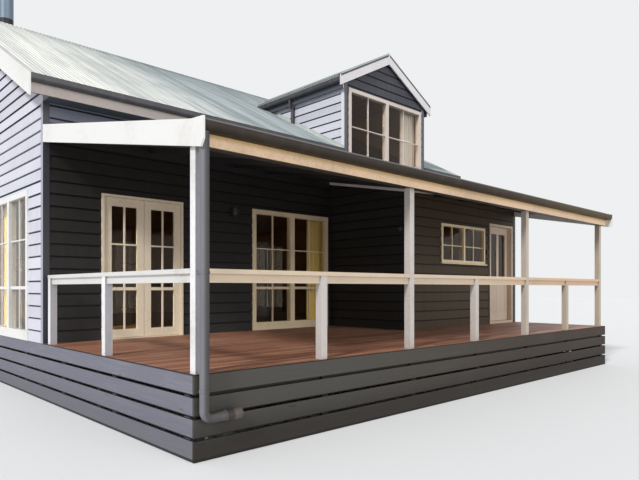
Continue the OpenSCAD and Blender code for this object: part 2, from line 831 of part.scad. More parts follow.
// Gabled front of the dormer, standing on the soffit of the eave
module dormer_front_wall() {
    color(slate) at_origin() difference() {
        intersection() {
            box([dormer_left + clad, dormer_y + clad, up(soffit_h) + soffit_t],
                [dormer_right - clad, dormer_y + dormer_in, up(dormer_top)]);
            below_dormer_roof();
        }
        in_front(dormer_x - dormer_window_w / 2, dormer_y, up(dormer_sill), 0, 2 * wall_t)
            square([dormer_window_w, dormer_head - dormer_sill]);
    }
}

// Side walls of the dormer, standing on the roof and cut to both slopes
module dormer_cheeks() {
    color(slate) at_origin() both_cheeks() difference() {
        intersection() {
            box([dormer_left + clad, dormer_y + dormer_in, up(soffit_h)],
                [dormer_left + dormer_in, ridge_y, up(dormer_top)]);
            below_dormer_roof();
        }
        below_main_roof(dormer_y, ridge_y + 1);
    }
}

// Barge boards that close the gutter ends, and the eave fascias
module dormer_trim() {
    y0 = dormer_y - 65;
    y1 = dormer_y - 40;
    left = dormer_x - dormer_eave;
    top = 15;
    depth = 220;
    low = sheet_t + seat;
    color(white) at_origin() {
        both_cheeks() run_y(y0, y1) polygon([[dormer_x - 1, dormer_z(dormer_x - 1) + top],
            [left, dormer_z(left) + top], [left, dormer_z(left) + top - depth],
            [dormer_x - 1, dormer_z(dormer_x - 1) + top - depth]]);
        both_cheeks() difference() {
            run_y(y1 + seat, ridge_y) polygon([[left + 90, dormer_z(left + 90) - low],
                [left + 110, dormer_z(left + 110) - low], [left + 110, dormer_z(left) - eave_foot],
                [left + 90, dormer_z(left) - eave_foot]]);
            below_main_roof(dormer_y - 99, ridge_y + 1);
        }
    }
}

module dormer_gutters() {
    left = dormer_x - dormer_eave;
    h = 100;
    low = dormer_z(left) - 25 - h;
    pipe_y = 5200;
    pipe = 75;
    outlet_x = left + 20;
    outlet_w = 60;
    offset_h = 30;
    offset_low = dormer_z(left) - eave_foot - 2 * offset_h;
    color(slate) at_origin() both_cheeks() difference() {
        union() {
            run_y(dormer_y - 40, ridge_y) translate([left + 90, low]) mirror([1, 0])
                gutter_section(90, h);
            translate([dormer_left - 55, pipe_y, up(roof_at_wall)])
                cylinder(d = pipe, h = offset_low + offset_h - up(roof_at_wall));
            translate([outlet_x, pipe_y - outlet_w / 2, offset_low])
                cube([outlet_w, outlet_w, low + gutter_t - offset_low]);
            translate([outlet_x, pipe_y - outlet_w / 2, offset_low])
                cube([dormer_left - outlet_x, outlet_w, offset_h]);
        }
        below_main_roof(dormer_y - 99, ridge_y + 1);
    }
}

// Tall posts under the beam, and short ones between them and along the left end
module verandah_posts() {
    top = up(rail_h - cap_t);
    color(white) at_origin() {
        for (x = post_x) box([x, post_y, floor_z], [x + post, post_y + post, up(beam_low)]);
        for (i = [0:2]) translate([post_x[i] + post_pitch / 2, post_y, floor_z])
            cube([post, post, top - floor_z]);
        for (y = side_post_y) translate([post_y, y, floor_z]) cube([post, post, top - floor_z]);
    }
}

// Flat cap over a lower rail on edge, between the posts and along the left end
module handrails() {
    cap_low = up(rail_h - cap_t);
    in = (post - low_rail_t) / 2;
    out = (cap_w - post) / 2;
    ys = [post_y + post, side_post_y[0], side_post_y[0] + post, side_post_y[1]];
    color(white) at_origin() {
        for (i = [0:2]) {
            x0 = post_x[i] + post;
            xm = post_x[i] + post_pitch / 2;
            x1 = post_x[i + 1];
            box([x0, post_y - out, cap_low], [x1, post_y + post + out, up(rail_h)]);
            for (s = [[x0, xm], [xm + post, x1]])
                box([s[0], post_y + in, cap_low - low_rail_h], [s[1], post_y + in + low_rail_t, cap_low]);
        }
        box([post_y - out, post_y + post, cap_low],
            [post_y + post + out, side_post_y[1] + post, up(rail_h)]);
        for (s = [0, 2]) box([post_y + in, ys[s], cap_low - low_rail_h],
            [post_y + in + low_rail_t, ys[s + 1], cap_low]);
    }
}

module verandah_beam() {
    color(cream) at_origin() {
        box([clad, beam_y0, up(beam_low)], [house_w - clad, beam_y1, beam_top]);
        box([clad, -fascia_t, up(beam_low - 8)], [house_w - clad, 0, lean_z(-fascia_t) - sheet_t]);
    }
}

// Rafter seen from the side, notched over the beam
module rafter_profile(far) {
    low = lean_t + rafter_h;
    polygon([[0, lean_z(0) - low], [beam_y0, lean_z(beam_y0) - low], [beam_y0, beam_seat],
        [beam_y1, beam_seat], [far, lean_z(far) - low],
        [far, lean_z(far) - lean_t], [0, lean_z(0) - lean_t]]);
}

// Rafters over the open verandah run to a ledger on the wall, the rest to the sunroom
module verandah_rafters() {
    open = 7;
    step = (sun_x - rafter_t - clad) / open;
    right = 5;
    right_step = (house_w - sun_x - 2 * clad - rafter_t) / right;
    wall_z = lean_z(deck_d);
    color("#2f2c2b") at_origin() {
        for (i = [0:open - 1]) run_x(clad + i * step, clad + i * step + rafter_t)
            rafter_profile(deck_d - seat);
        for (i = [0:right]) run_x(sun_x + clad + i * right_step, sun_x + clad + i * right_step + rafter_t)
            rafter_profile(sun_y);
        box([90, deck_d, wall_z - 200], [sun_x - rafter_t, deck_d + clad, wall_z]);
        box([90, deck_d, wall_z - lean_t], [house_w - clad, deck_d + clad, wall_z + flashing_up]);
    }
}

// White boards that follow the slope: one at each end and one on the sunroom wall
module verandah_raking_boards() {
    top = 12;
    tip_h = 200;
    color(white) at_origin() {
        both_ends() run_x(0, clad) polygon([[front_tip_y, lean_z(50)], [50, lean_z(50) + top],
            [deck_d, lean_z(deck_d) + top], [deck_d, lean_z(deck_d) - rake_h],
            [-110, lean_z(-110) - rake_h], [front_tip_y, lean_z(50) - tip_h]]);
        run_x(sun_x - rafter_t, sun_x) rafter_profile(deck_d);
    }
}

module verandah_roof() {
    lip = -75;
    low = lean_t - seat;
    color(zinc) at_origin() run_x(clad, house_w - clad)
        polygon([[lip, lean_z(lip)], [deck_d, lean_z(deck_d)], [deck_d, lean_z(deck_d) - low],
            [0, lean_z(0) - low], [0, lean_z(0) - sheet_t + seat], [lip, lean_z(lip) - sheet_t + seat]]);
}

module verandah_gutter() {
    color("#4b443e") at_origin()
        gutter_run(verandah_gutter_w, verandah_gutter_h, -fascia_t, up(verandah_gutter_low),
            clad, house_w - clad, verandah_gutter_h - gutter_back);
}

// Path of the corner downpipe at one diameter: upright, quarter bend and level stub
module downpipe_path(d, bend, height, stub) {
    translate([0, 0, bend]) cylinder(d = d, h = height - bend);
    translate([bend, 0, bend]) rotate([90, 0, 0]) rotate([0, 0, 180]) rotate_extrude(angle = 90)
        translate([bend, 0]) circle(d = d);
    translate([bend, 0, 0]) rotate([0, 90, 0]) cylinder(d = d, h = stub - bend);
}

// Downpipe at the near corner, held by two straps, with a coupling and an open drain socket at
// its foot
module corner_downpipe() {
    d = 90;
    bend = 70;
    cx = 66;
    cy = -70;
    low = up(-390);
    height = up(verandah_gutter_low) - low;
    ring_at = 218;
    socket_at = 296;
    socket_end = 392;
    socket_deep = 110;
    strap = 24;
    straps = [[240, 0], [1300, post_y]];
    color("#8d8994") at_origin() translate([cx, cy, low]) difference() {
        union() {
            downpipe_path(d, bend, height, ring_at);
            translate([ring_at, 0, 0]) rotate([0, 90, 0]) cylinder(d = d + 18, h = socket_at - ring_at);
            translate([socket_at, 0, 0]) rotate([0, 90, 0])
                cylinder(d = d + 10, h = socket_end - socket_at);
            for (s = straps) translate([0, 0, s[0]]) {
                cylinder(d = d + 10, h = strap);
                translate([-strap / 2, 0, 0]) cube([strap, s[1] - cy, strap]);
            }
        }
        downpipe_path(d - 6, bend, height + hollow_cut, socket_end);
        translate([socket_end - socket_deep, 0, 0]) rotate([0, 90, 0])
            cylinder(d = d, h = socket_deep + hollow_cut);
    }
}

// Oval lamp on the front wall and a round one on the sunroom wall
module wall_lamps() {
    color("#1d1d1f") at_origin() {
        translate([3236, deck_d + clad, up(2150)]) rotate([90, 0, 0]) {
            linear_extrude(clad + 35) oval(150, 50);
            translate([0, 0, clad + 35]) linear_extrude(30) oval(118, 50);
        }
        translate([sun_x + clad, 2135, up(1880)]) rotate([0, -90, 0]) {
            cylinder(d = 120, h = clad + 25);
            translate([0, 0, clad + 25]) cylinder(d = 90, h = 35);
        }
    }
}
module oval(d, straight) {
    square([d, straight], center = true);
    for (s = [-1, 1]) translate([0, s * straight / 2]) circle(d = d);
}

// Drawn curtains, each as the plain block that its folds fill
module curtains() {
    t = 70;
    y = deck_d + clad + wall_t;
    dy = dormer_y + dormer_in;
    x = clad + wall_t;
    color("#d9c79a") at_origin() {
        for (s = [[dining_x + 20, 210], [dining_x + tall_w - 420, 400]])
            box([s[0], y, up(60)], [s[0] + s[1], y + t, up(tall_h + 80)]);
        box([dormer_x + 680, dy, up(dormer_sill - 20)], [dormer_x + 1200, dy + t, up(dormer_head + 60)]);
        for (g = [[deck_d + gable_window_in + 20, 260], [deck_d + gable_window_in + tall_w - 330, 310]])
            box([x, g[0], up(60)], [x + t, g[0] + g[1], up(tall_h + 80)]);
    }
}

stumps();
floor_bearers();
floor_joists();
deck_floor();
house_floor();
upper_floor();
front_and_rear_skirts();
side_skirts();
front_wall();
walls_over_openings();
sunroom_side_wall();
sunroom_front_wall();
left_gable_wall();
right_gable_wall();
rear_wall();
corner_boards();
front_window_frames();
gable_window_frames();
rear_window_frames();
window_glass();
door_hinges();
french_door_frame();
french_door_left();
french_door_left_glass();
french_door_handle();
french_door_right();
french_door_right_glass();
entry_door_frame();
entry_door();
entry_door_glass();
entry_door_handle();
main_roof_front();
main_roof_rear();
ridge_caps();
barge_boards();
eaves();
main_gutters();
flue();
dormer_front_wall();
dormer_cheeks();
dormer_roof();
dormer_trim();
dormer_gutters();
verandah_posts();
handrails();
verandah_beam();
verandah_rafters();
verandah_raking_boards();
verandah_roof();
verandah_gutter();
corner_downpipe();
wall_lamps();
curtains();
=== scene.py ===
"""Looks of the timber beach house: cladding boards, corrugated sheets, bars, cloth and finishes.

Lengths are metres. Shapes are written in house coordinates: x along the front from the left
gable face, y from the front edge of the deck to the back, z from the top of the deck.
"""
import bmesh
import bpy
import math
import random
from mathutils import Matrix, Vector


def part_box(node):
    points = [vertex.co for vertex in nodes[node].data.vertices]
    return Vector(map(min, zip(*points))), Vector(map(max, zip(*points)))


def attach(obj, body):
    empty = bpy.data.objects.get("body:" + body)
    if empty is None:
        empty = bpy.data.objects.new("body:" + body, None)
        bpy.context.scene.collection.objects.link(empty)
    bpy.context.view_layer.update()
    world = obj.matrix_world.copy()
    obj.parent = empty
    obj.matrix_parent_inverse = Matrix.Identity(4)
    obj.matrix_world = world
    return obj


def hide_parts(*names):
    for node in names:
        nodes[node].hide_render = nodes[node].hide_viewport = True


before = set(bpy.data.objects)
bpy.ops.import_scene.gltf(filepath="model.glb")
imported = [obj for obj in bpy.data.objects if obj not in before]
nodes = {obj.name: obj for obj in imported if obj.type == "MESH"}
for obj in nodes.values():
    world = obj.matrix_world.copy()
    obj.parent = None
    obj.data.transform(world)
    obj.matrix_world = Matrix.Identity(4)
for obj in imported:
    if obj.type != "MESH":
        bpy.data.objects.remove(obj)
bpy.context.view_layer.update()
chance = random.Random(7)

# Where house coordinates start in the frame
ORIGIN = Vector((*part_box("front_and_rear_skirts")[0].xy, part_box("deck_floor")[1].z))

# The house
HOUSE_W = 9.7
FRONT_Y = 4.0
REAR_Y = 12.8
RIDGE_Y = 8.4
SUN_X = 5.69
SUN_Y = 1.98
CLAD = 0.020
WALL_IN = 0.150
CORNER_LEG = 0.090
SOFFIT = 3.40
PITCH_ANGLE = math.radians(28.1)
RISE = math.tan(PITCH_ANGLE)
ROOF_AT_WALL = 3.81
ROOF_T = 0.13
ROOF_LIP_Y = 3.645
VERGE = 0.272
BARGE_OUT = 0.300
GROUND = -0.785

# The verandah
LEAN_AT_EDGE = 2.285
LEAN_RISE = 0.1955
LEAN_T = 0.04
RAKE_H = 0.235
LEDGER_LOW = 2.867
UPSTAND_TOP = 3.127
POST_PITCH = 3.15
SKIRT_PITCH = 0.196

# The dormer
DORMER_X = 7.08
DORMER_HALF = 1.366
DORMER_LEFT = DORMER_X - DORMER_HALF
DORMER_RIGHT = DORMER_X + DORMER_HALF
DORMER_EAVE = DORMER_HALF + 0.170
DORMER_TOP = 5.92
DORMER_Y = 3.64
DORMER_FOOT = 3.412
DORMER_ROOF_T = 0.11

# Doors and windows, each as left, sill, right, head
FRENCH = (0.834, 0.0, 2.209, 2.21)
ENTRY = (8.55, 0.0, 9.55, 2.19)
DINING = (3.647, 0.0, 5.589, 2.245)
SUN_WINDOW = (6.73, 1.295, 8.35, 2.06)
DORMER_WINDOW = (5.845, 3.5, 8.315, 4.926)
GABLE_FRONT = (4.66, 0.0, 6.602, 2.245)
GABLE_REAR = (10.198, 0.0, 12.14, 2.245)
ATTIC = (7.7, 3.65, 9.1, 4.85)
REAR_LEFT = (1.2, 1.295, 2.82, 2.06)
REAR_RIGHT = (6.88, 1.295, 8.5, 2.06)
REAR_TALL = (3.879, 0.0, 5.821, 2.245)

# Boards and sheets
BOARD = 0.178
LAP = [(0.0, 0.0), (0.153, 0.012), (0.156, 0.0185), (0.178, 0.0185)]
DECK_BOARD = 0.090
DECK_GAP = 0.004
LINING_BOARD = 0.13
WAVE = 0.076
WAVE_DEEP = 0.016
SHEET_UP = 0.001
SHEET_T = 0.001
CREST = SHEET_UP + WAVE_DEEP


def roof_z(y):
    """Height of the main roof's surface over a point at depth y."""
    return ROOF_AT_WALL + (min(y, 2 * RIDGE_Y - y) - FRONT_Y) * RISE


def lean_z(y):
    """Height of the verandah roof's surface."""
    return LEAN_AT_EDGE + y * LEAN_RISE


def dormer_z(x):
    """Height of the dormer roof's surface."""
    return DORMER_TOP - abs(x - DORMER_X) * RISE


# Materials

def math_node(operation):
    """A method that puts a number, and another where there is one, through a Math node."""
    def act(value, *other):
        return value.finish.node("Math", {"operation": operation}, dict(enumerate((value, *other))))
    return act


class Value:
    """A number inside a material; arithmetic on it adds nodes."""

    def __init__(self, finish, socket):
        self.finish = finish
        self.socket = socket

    __add__ = __radd__ = math_node("ADD")
    __sub__ = math_node("SUBTRACT")
    __mul__ = math_node("MULTIPLY")
    __truediv__ = math_node("DIVIDE")
    __gt__ = math_node("GREATER_THAN")
    __lt__ = math_node("LESS_THAN")
    floor = math_node("FLOOR")
    part = math_node("FRACT")
    sine = math_node("SINE")
    size = math_node("ABSOLUTE")
    top = math_node("MAXIMUM")

    def __rsub__(self, other):
        return self * -1.0 + other

    def step(self, low, high):
        """0 below low and 1 above high, with a smooth change between them."""
        return self.finish.node("MapRange", {"interpolation_type": "SMOOTHSTEP"},
                                {"Value": self, "From Min": low, "From Max": high})


class Finish:
    """The nodes of a new material, or of the owner given, and the tools that build them."""

    def __init__(self, name, owner=None):
        self.owner = owner or bpy.data.materials.new(name)
        self.owner.use_nodes = True
        self.tree = self.owner.node_tree
        self.tree.nodes.clear()
        self.place = self.node("TexCoord", out="Object")

    def make(self, kind, settings=None, inputs=None):
        made = self.tree.nodes.new("ShaderNode" + kind)
        for name, value in (settings or {}).items():
            setattr(made, name, value)
        for socket, value in (inputs or {}).items():
            self.feed(made.inputs[socket], value)
        return made

    def node(self, kind, settings=None, inputs=None, out=0):
        return Value(self, self.make(kind, settings, inputs).outputs[out])

    def feed(self, socket, value):
        """Links or sets one input; a colour is given as three numbers."""
        if isinstance(value, Value):
            self.tree.links.new(value.socket, socket)
        else:
            socket.default_value = (*value, 1.0) if socket.type == "RGBA" else value

    def split(self, vector):
        parts = self.make("SeparateXYZ", inputs={0: vector})
        return [Value(self, output) for output in parts.outputs]

    def axes(self):
        """The three coordinates in the frame."""
        return self.split(self.place)

    def house(self):
        """The three house coordinates."""
        return [axis - start for axis, start in zip(self.axes(), ORIGIN)]

    def facing(self):
        """The three parts of the surface's own direction."""
        return self.split(self.node("NewGeometry", out="Normal"))

    def stretched(self, stretch):
        """The place times one number, or times one for each of x, y and z."""
        times = stretch if isinstance(stretch, tuple) else (stretch,) * 3
        return self.node("VectorMath", {"operation": "MULTIPLY"}, {0: self.place, 1: times})

    def noise(self, stretch, detail=3.0, rough=0.55):
        """Cloudy noise; stretch is how fast it changes."""
        return self.node("TexNoise", inputs={"Vector": self.stretched(stretch), "Scale": 1.0,
                                             "Detail": detail, "Roughness": rough})

    def cells(self, stretch):
        """Distance to the nearest point of a random scatter."""
        return self.node("TexVoronoi", inputs={"Vector": self.stretched(stretch), "Scale": 1.0})

    def lot(self, number):
        """A random number from 0 to 1 for each whole number."""
        return self.node("TexWhiteNoise", {"noise_dimensions": "1D"}, {"W": number})

    def blend(self, share, first, second):
        """Mixes two colours."""
        return self.node("Mix", {"data_type": "RGBA"}, {0: share, 6: first, 7: second}, out=2)

    def coats(self, base, *layers):
        """Lays layers of (share, colour) over a base, one after another."""
        for share, colour in layers:
            base = self.blend(share, base, colour)
        return base

    def bump(self, height, relief):
        return self.node("Bump", inputs={"Strength": 1.0, "Distance": relief, "Height": height})

    def surface(self, colour, roughness, height=None, relief=0.0, **plain):
        """Ends the material in one shader; relief is how far a height of 1 stands out."""
        inputs = {name.replace("_", " "): value for name, value in plain.items()}
        inputs.update({"Base Color": colour, "Roughness": roughness})
        if height is not None:
            inputs["Normal"] = self.bump(height, relief)
        self.make("OutputMaterial", inputs={"Surface": self.node("BsdfPrincipled", inputs=inputs)})
        return self.owner


def shade(colour, times):
    """A colour made darker or lighter."""
    return tuple(min(1.0, part * times) for part in colour)


# Brush marks that run up and down, and along the front
UPRIGHT = (70, 70, 7)
LEVEL = (7, 70, 70)


def brushwork(f, along):
    """Clouds, brush marks and flecks of hand-painted timber."""
    return f.noise(1.6), f.noise(along), f.noise(24, detail=5, rough=0.7)


def dirt_patches(cloud, fleck, clean):
    """Where dirt lies; a higher clean makes its patches smaller."""
    return (cloud * 0.7 + fleck * 0.5).step(clean, 0.86)


def old_paint(name, cover, dirt, clean, wear, along=UPRIGHT, dull=0.0):
    """Brushed paint in the colour that cover gives, dirty in patches: wear makes them
    stronger and dull makes them rougher."""
    f = Finish(name)
    cloud, brush, fleck = brushwork(f, along)
    stain = dirt_patches(cloud, fleck, clean) * wear
    stained = f.blend(stain, cover(f), dirt)
    return f.surface(stained, 0.36 + cloud * 0.2 + stain * dull, brush * 0.5 + fleck * 0.4, 0.0009)


def post_colour(f):
    """Warm white, yellower to the right; the left corner post has painted sunlight on its left face
    and painted shade on its front face.
    """
    x = f.house()[0]
    aged = f.blend(x.step(3.5, 8.0), (0.52, 0.47, 0.44), (0.43, 0.36, 0.28))
    # Painted sunlight on the corner post's left face, painted shade on its front face
    clean = f.blend(f.facing()[1] < -0.5, (0.8, 0.79, 0.8), (0.42, 0.415, 0.45))
    return f.blend(x < 0.12, aged, clean)


def rail_colour(f):
    """Warm cream, yellower to the right, with painted sunlight making it whiter along the left
    side.
    """
    x = f.house()[0]
    aged = f.blend(x.step(3.5, 8.5), (0.6, 0.48, 0.35), (0.6, 0.4, 0.25))
    # Painted sunlight along the left side
    return f.blend(x < 0.1, aged, (0.66, 0.64, 0.62))


def frame_colour(f):
    """One cream paint in two tones standing in for light: lighter and yellower below the dormer as
    painted light, greyer and pinker on the dormer.
    """
    return f.blend(f.house()[2] > DORMER_FOOT, (0.94, 0.76, 0.5), (0.62, 0.54, 0.48))


def door_colour(f):
    """Cream, lightened on the French doors as painted light and deeper on the entry door at the
    right.
    """
    return f.blend(f.house()[0] > SUN_X, (0.95, 0.82, 0.62), (0.7, 0.56, 0.43))


def weatherboard_paint(name, colour, faded_and_sunlit, fade, groove_shade=(0.01, 0.01, 0.011)):
    """Satin paint on lapped boards: each course a little different, with painted shade in the
    recess under each lap.
    """
    f = Finish(name)
    course = f.house()[2] / BOARD
    tone = f.lot(course.floor() + 31.0)
    cloud = f.noise((0.7, 0.7, 2))
    grain = f.noise((6, 6, 260), detail=4)
    streak = f.noise((14, 14, 0.9), detail=2)
    base = f.blend(tone * 0.55 + cloud * 0.45, shade(colour, 0.84), shade(colour, 1.18))
    worn = (streak * 0.6 + cloud * 0.5 - 0.35).step(0.05, 0.55) * fade
    # The top of each course, under the lap above, is painted dark as painted shade
    groove_painted_shade = course.part() > 0.868
    painted = f.coats(base, (worn, faded_and_sunlit), (groove_painted_shade, groove_shade))
    return f.surface(painted, 0.46 + cloud * 0.22 + worn * 0.2, grain * 0.8 + cloud * 0.6, 0.0016,
                     Specular_IOR_Level=0.25)


def corner_paint():
    """Slate paint on the corner boards, with painted sunlight where they face the left, strongest
    on the dormer, and a lighter painted copy on the other faces above the soffit.
    """
    f = Finish("corner_paint")
    left = f.facing()[0] < -0.5
    high = f.house()[2] > SOFFIT
    cloud = f.noise(1.6)
    slate = f.blend(cloud, (0.03, 0.031, 0.042), (0.046, 0.047, 0.06))
    painted_light_high = f.blend(cloud, (0.07, 0.074, 0.092), (0.095, 0.1, 0.12))
    faded_and_sunlit = f.blend(cloud, (0.3, 0.3, 0.36), (0.4, 0.4, 0.47))
    painted_sun_high = f.blend(cloud, (0.66, 0.66, 0.7), (0.76, 0.75, 0.79))
    # Faces towards the left carry painted sunlight, and all faces above the soffit a lighter
    # painted copy
    painted = f.blend(left, f.blend(high, slate, painted_light_high), f.blend(high, faded_and_sunlit, painted_sun_high))
    return f.surface(painted, 0.4 + cloud * 0.2, f.noise(UPRIGHT), 0.0009)


def dormer_trim_paint():
    """White barge boards at the front of the dormer, slate fascias behind them."""
    f = Finish("dormer_trim_paint")
    barge_back = DORMER_Y - 0.0385
    behind = f.house()[1] > barge_back
    cloud = f.noise(1.6)
    white = f.blend(cloud, (0.62, 0.58, 0.6), (0.74, 0.71, 0.72))
    slate = f.blend(cloud, (0.05, 0.056, 0.078), (0.075, 0.082, 0.11))
    return f.surface(f.blend(behind, white, slate), 0.36 + cloud * 0.2, f.noise(LEVEL), 0.0009)


def skirt_paint(name, colour, browner, pale, bare, low):
    """Thin old paint on rough sawn boards, browner to the right in front, with grain and knots
    showing through; painted shade darkens them to low at the ground and along their edges by the
    gaps."""
    f = Finish(name)
    x, y, z = f.house()
    above = z - GROUND
    course = z / SKIRT_PITCH
    tone = f.lot(course.floor() + 12.0)
    cloud = f.noise((1.1, 1.1, 1.6))
    grain = f.noise((2.2, 2.2, 75), detail=5, rough=0.62)
    knot = 1 - f.cells((1.3, 1.3, 5.6)).step(0.03, 0.085)
    splash = (1 - (above + cloud * 0.12).step(0.03, 0.26)) * 0.55
    right = (x + cloud).step(1.5, 8.0) * (y < -ORIGIN.y)
    # Painted shade that darkens the boards towards the ground
    ground_shade = 1 - above.step(0.0, 0.75)
    dusty = (grain * 0.7 + cloud * 0.4).step(0.46, 0.8) * (0.55 - ground_shade * 0.4)
    board_middle = 0.546
    # Painted shade along the board edges beside each gap and on faces that point up and down
    edge = (course.part() - board_middle).size().step(0.408, 0.43)
    level = f.facing()[2].size() > 0.5
    grime_and_shade = shade(colour, 0.2)
    painted = f.coats(shade(colour, 1.35), (right, shade(browner, 1.35)), (ground_shade * ground_shade, low),
                      (tone * 0.14 + cloud * 0.14, grime_and_shade), (dusty, pale),
                      (knot * 0.7, shade(bare, 0.6)), (splash, bare), (level.top(edge), grime_and_shade))
    return f.surface(painted, 0.62 + grain * 0.2, grain - knot * 0.4, 0.003,
                     Specular_IOR_Level=0.3)


def deck_timber():
    """Oiled red-brown deck boards, each its own tone, with grain along them."""
    f = Finish("deck_timber")
    row = (f.house()[1] / (DECK_BOARD + DECK_GAP)).floor()
    length = ((f.axes()[0] + f.lot(row + 5.0) * 4.0) / 2.7).floor()
    tone = f.lot(row * 17.0 + length)
    grain = f.noise((3, 70, 3), detail=5, rough=0.6)
    cloud = f.noise(0.8)
    dark, red, pale = (0.17, 0.07, 0.04), (0.36, 0.155, 0.09), (0.46, 0.28, 0.2)
    oiled = f.coats(shade(dark, 1.3), (tone, shade(red, 1.15)),
                    (grain.step(0.35, 0.75) * 0.6, dark),
                    ((cloud * 0.8 + tone * 0.3).step(0.45, 0.85) * 0.45, pale))
    return f.surface(oiled, 0.4 + grain * 0.2 + cloud * 0.1, grain, 0.0015)


def joint(board):
    """1 at the joint between two lining boards, from a count of boards."""
    return (board.part() - 0.5).size().step(0.475, 0.495)


def plain_timber(name, colour, dark, boards_along=None):
    """Sawn or planed timber; boards_along is the axis that counts its boards."""
    f = Finish(name)
    grain = f.noise((5, 60, 60), detail=4)
    base = f.blend(grain * 0.6 + f.noise(1.5) * 0.4, shade(colour, 1.12), dark)
    height = grain * 0.6
    if boards_along is not None:
        board = f.axes()[boards_along] / LINING_BOARD
        base = f.coats(base, (f.lot(board.floor() + 40.0) * 0.35, dark),
                       (joint(board) * 0.8, shade(dark, 0.3)))
        height = height - joint(board) * 1.5
    return f.surface(base, 0.45 + grain * 0.2, height, 0.0015)


def wall_lining():
    """Warm brown inner lining, painted near black as painted shade on the outer faces behind the
    front and sunroom-side boards.
    """
    f = Finish("wall_lining")
    x, y, _ = f.house()
    front = (f.facing()[1] < -0.5) * (y < FRONT_Y + 0.05)
    side = (f.facing()[0] < -0.5) * ((x - SUN_X).size() < 0.05)
    cloud = f.noise(1.2)
    base = f.blend(cloud, (0.42, 0.25, 0.125), (0.52, 0.33, 0.18))
    # The outer faces behind the boards are painted near black as painted shade
    shaded_behind_boards = f.blend(front.top(side), base, (0.015, 0.015, 0.016))
    return f.surface(shaded_behind_boards, 0.75 + cloud * 0.1, f.noise(160, detail=2), 0.0006)


def roof_slab():
    """Roof slab below its sheets: grey metal above, pine lining below and round the
    dormer's opening, slate paint under the verges."""
    f = Finish("roof_slab")
    x = f.house()[0]
    opening = (f.facing()[0].size() > 0.9) * ((x - DORMER_X).size() < DORMER_HALF + 0.05)
    below = (f.facing()[2] < -0.5).top(opening)
    grain = f.noise((60, 5, 60), detail=4)
    cloud = f.noise(1.5)
    pine = f.blend(grain * 0.6 + cloud * 0.4, (0.36, 0.21, 0.1), (0.22, 0.12, 0.05))
    lined = f.blend(joint(f.axes()[0] / LINING_BOARD) * 0.8, pine, (0.07, 0.04, 0.02))
    metal = f.blend(cloud, (0.3, 0.32, 0.32), (0.44, 0.46, 0.46))
    under = f.blend((x < 0.0).top(x > HOUSE_W), lined, (0.1, 0.1, 0.125))
    return f.surface(f.blend(below, metal, under), 0.45 + grain * 0.2, grain * 0.6, 0.001)


def eave_paint():
    """Pale fascia above a dark slate soffit."""
    f = Finish("eave_paint")
    cloud, brush, fleck = brushwork(f, LEVEL)
    stain = dirt_patches(cloud, fleck, 0.56) * 0.4
    pale = f.blend(stain, (0.47, 0.4, 0.37), (0.27, 0.22, 0.2))
    slate = f.blend(cloud, (0.04, 0.046, 0.06), (0.066, 0.072, 0.09))
    painted = f.blend(f.facing()[1].size() > 0.5, slate, pale)
    return f.surface(painted, 0.4 + cloud * 0.2, brush * 0.5 + fleck * 0.4, 0.0009)


def beam_paint():
    """Warm cream on the front of the verandah beam and its fascia, its lower band lighter and
    pinker as painted light; painted shade, near black, on the faces behind and below.
    """
    f = Finish("beam_paint")
    cloud = f.noise(1.3)
    fleck = f.noise(20, detail=5, rough=0.7)
    brush = f.noise((6, 70, 70))
    # The lower band is painted lighter and pinker as painted light
    cream = f.blend(f.house()[2].step(2.12, 2.16), (0.78, 0.55, 0.36), (0.7, 0.47, 0.22))
    stained = f.blend(dirt_patches(cloud, fleck, 0.52) * 0.45, cream, (0.27, 0.2, 0.13))
    # Painted shade on the faces behind and below
    dark = f.blend(cloud, (0.02, 0.017, 0.012), (0.045, 0.038, 0.028))
    painted = f.blend(f.facing()[1] < -0.5, dark, stained)
    return f.surface(painted, 0.42 + cloud * 0.2, brush * 0.5 + fleck * 0.4, 0.0009)


def roof_sheet(name, across, start, pale=(0.94, 0.92, 0.84)):
    """Weathered painted sheet, with a painted sun sheen that makes it as pale as pale at the left:
    each sheet a little different, streaked down the slope, with painted shade in its troughs. start
    is where its first trough lies."""
    f = Finish(name)
    house = f.house()
    slow, fast = [0.25, 0.25, 0.25], [0.6, 0.6, 0.6]
    slow[across], fast[across] = 5.0, 26.0
    tone = f.lot((f.axes()[across] / (WAVE * 10) + 50.0).floor())
    streak = f.noise(tuple(slow), detail=4)
    fine = f.noise(tuple(fast), detail=4, rough=0.65)
    cloud = f.noise(0.5)
    spot = f.noise(19, detail=6, rough=0.75)
    # Painted sun sheen: paler towards the left
    drift = (house[0] + (cloud - 0.5) * 2.0).step(0.25, 4.45)
    colour = f.blend(drift, pale, (0.37, 0.42, 0.43))
    dark = f.blend(drift, (0.32, 0.35, 0.34), (0.12, 0.15, 0.155))
    high = (house[1] + cloud * 1.5).step(6.2, 8.6) * 0.35
    streaks = streak.step(0.45, 0.58) * (drift * 0.3 + 0.28)
    chalk = (fine * 0.7 + cloud * 0.4).step(0.5, 0.66) * 0.35
    wave = ((house[across] - start) / WAVE).part()
    # Painted shade along each trough
    trough = (wave - 0.5).size().step(0.22, 0.4) * 0.75
    grubby = (spot * 0.6 + streak * 0.5).step(0.58, 0.8) * 0.5
    for share in (tone * 0.2 + high, streaks, chalk, trough, grubby):
        colour = f.blend(share, colour, dark)
    return f.surface(colour, 0.38 + fine * 0.22, spot * 0.4 + fine * 0.4, 0.0008,
                     Metallic=0.15, Coat_Weight=0.1)


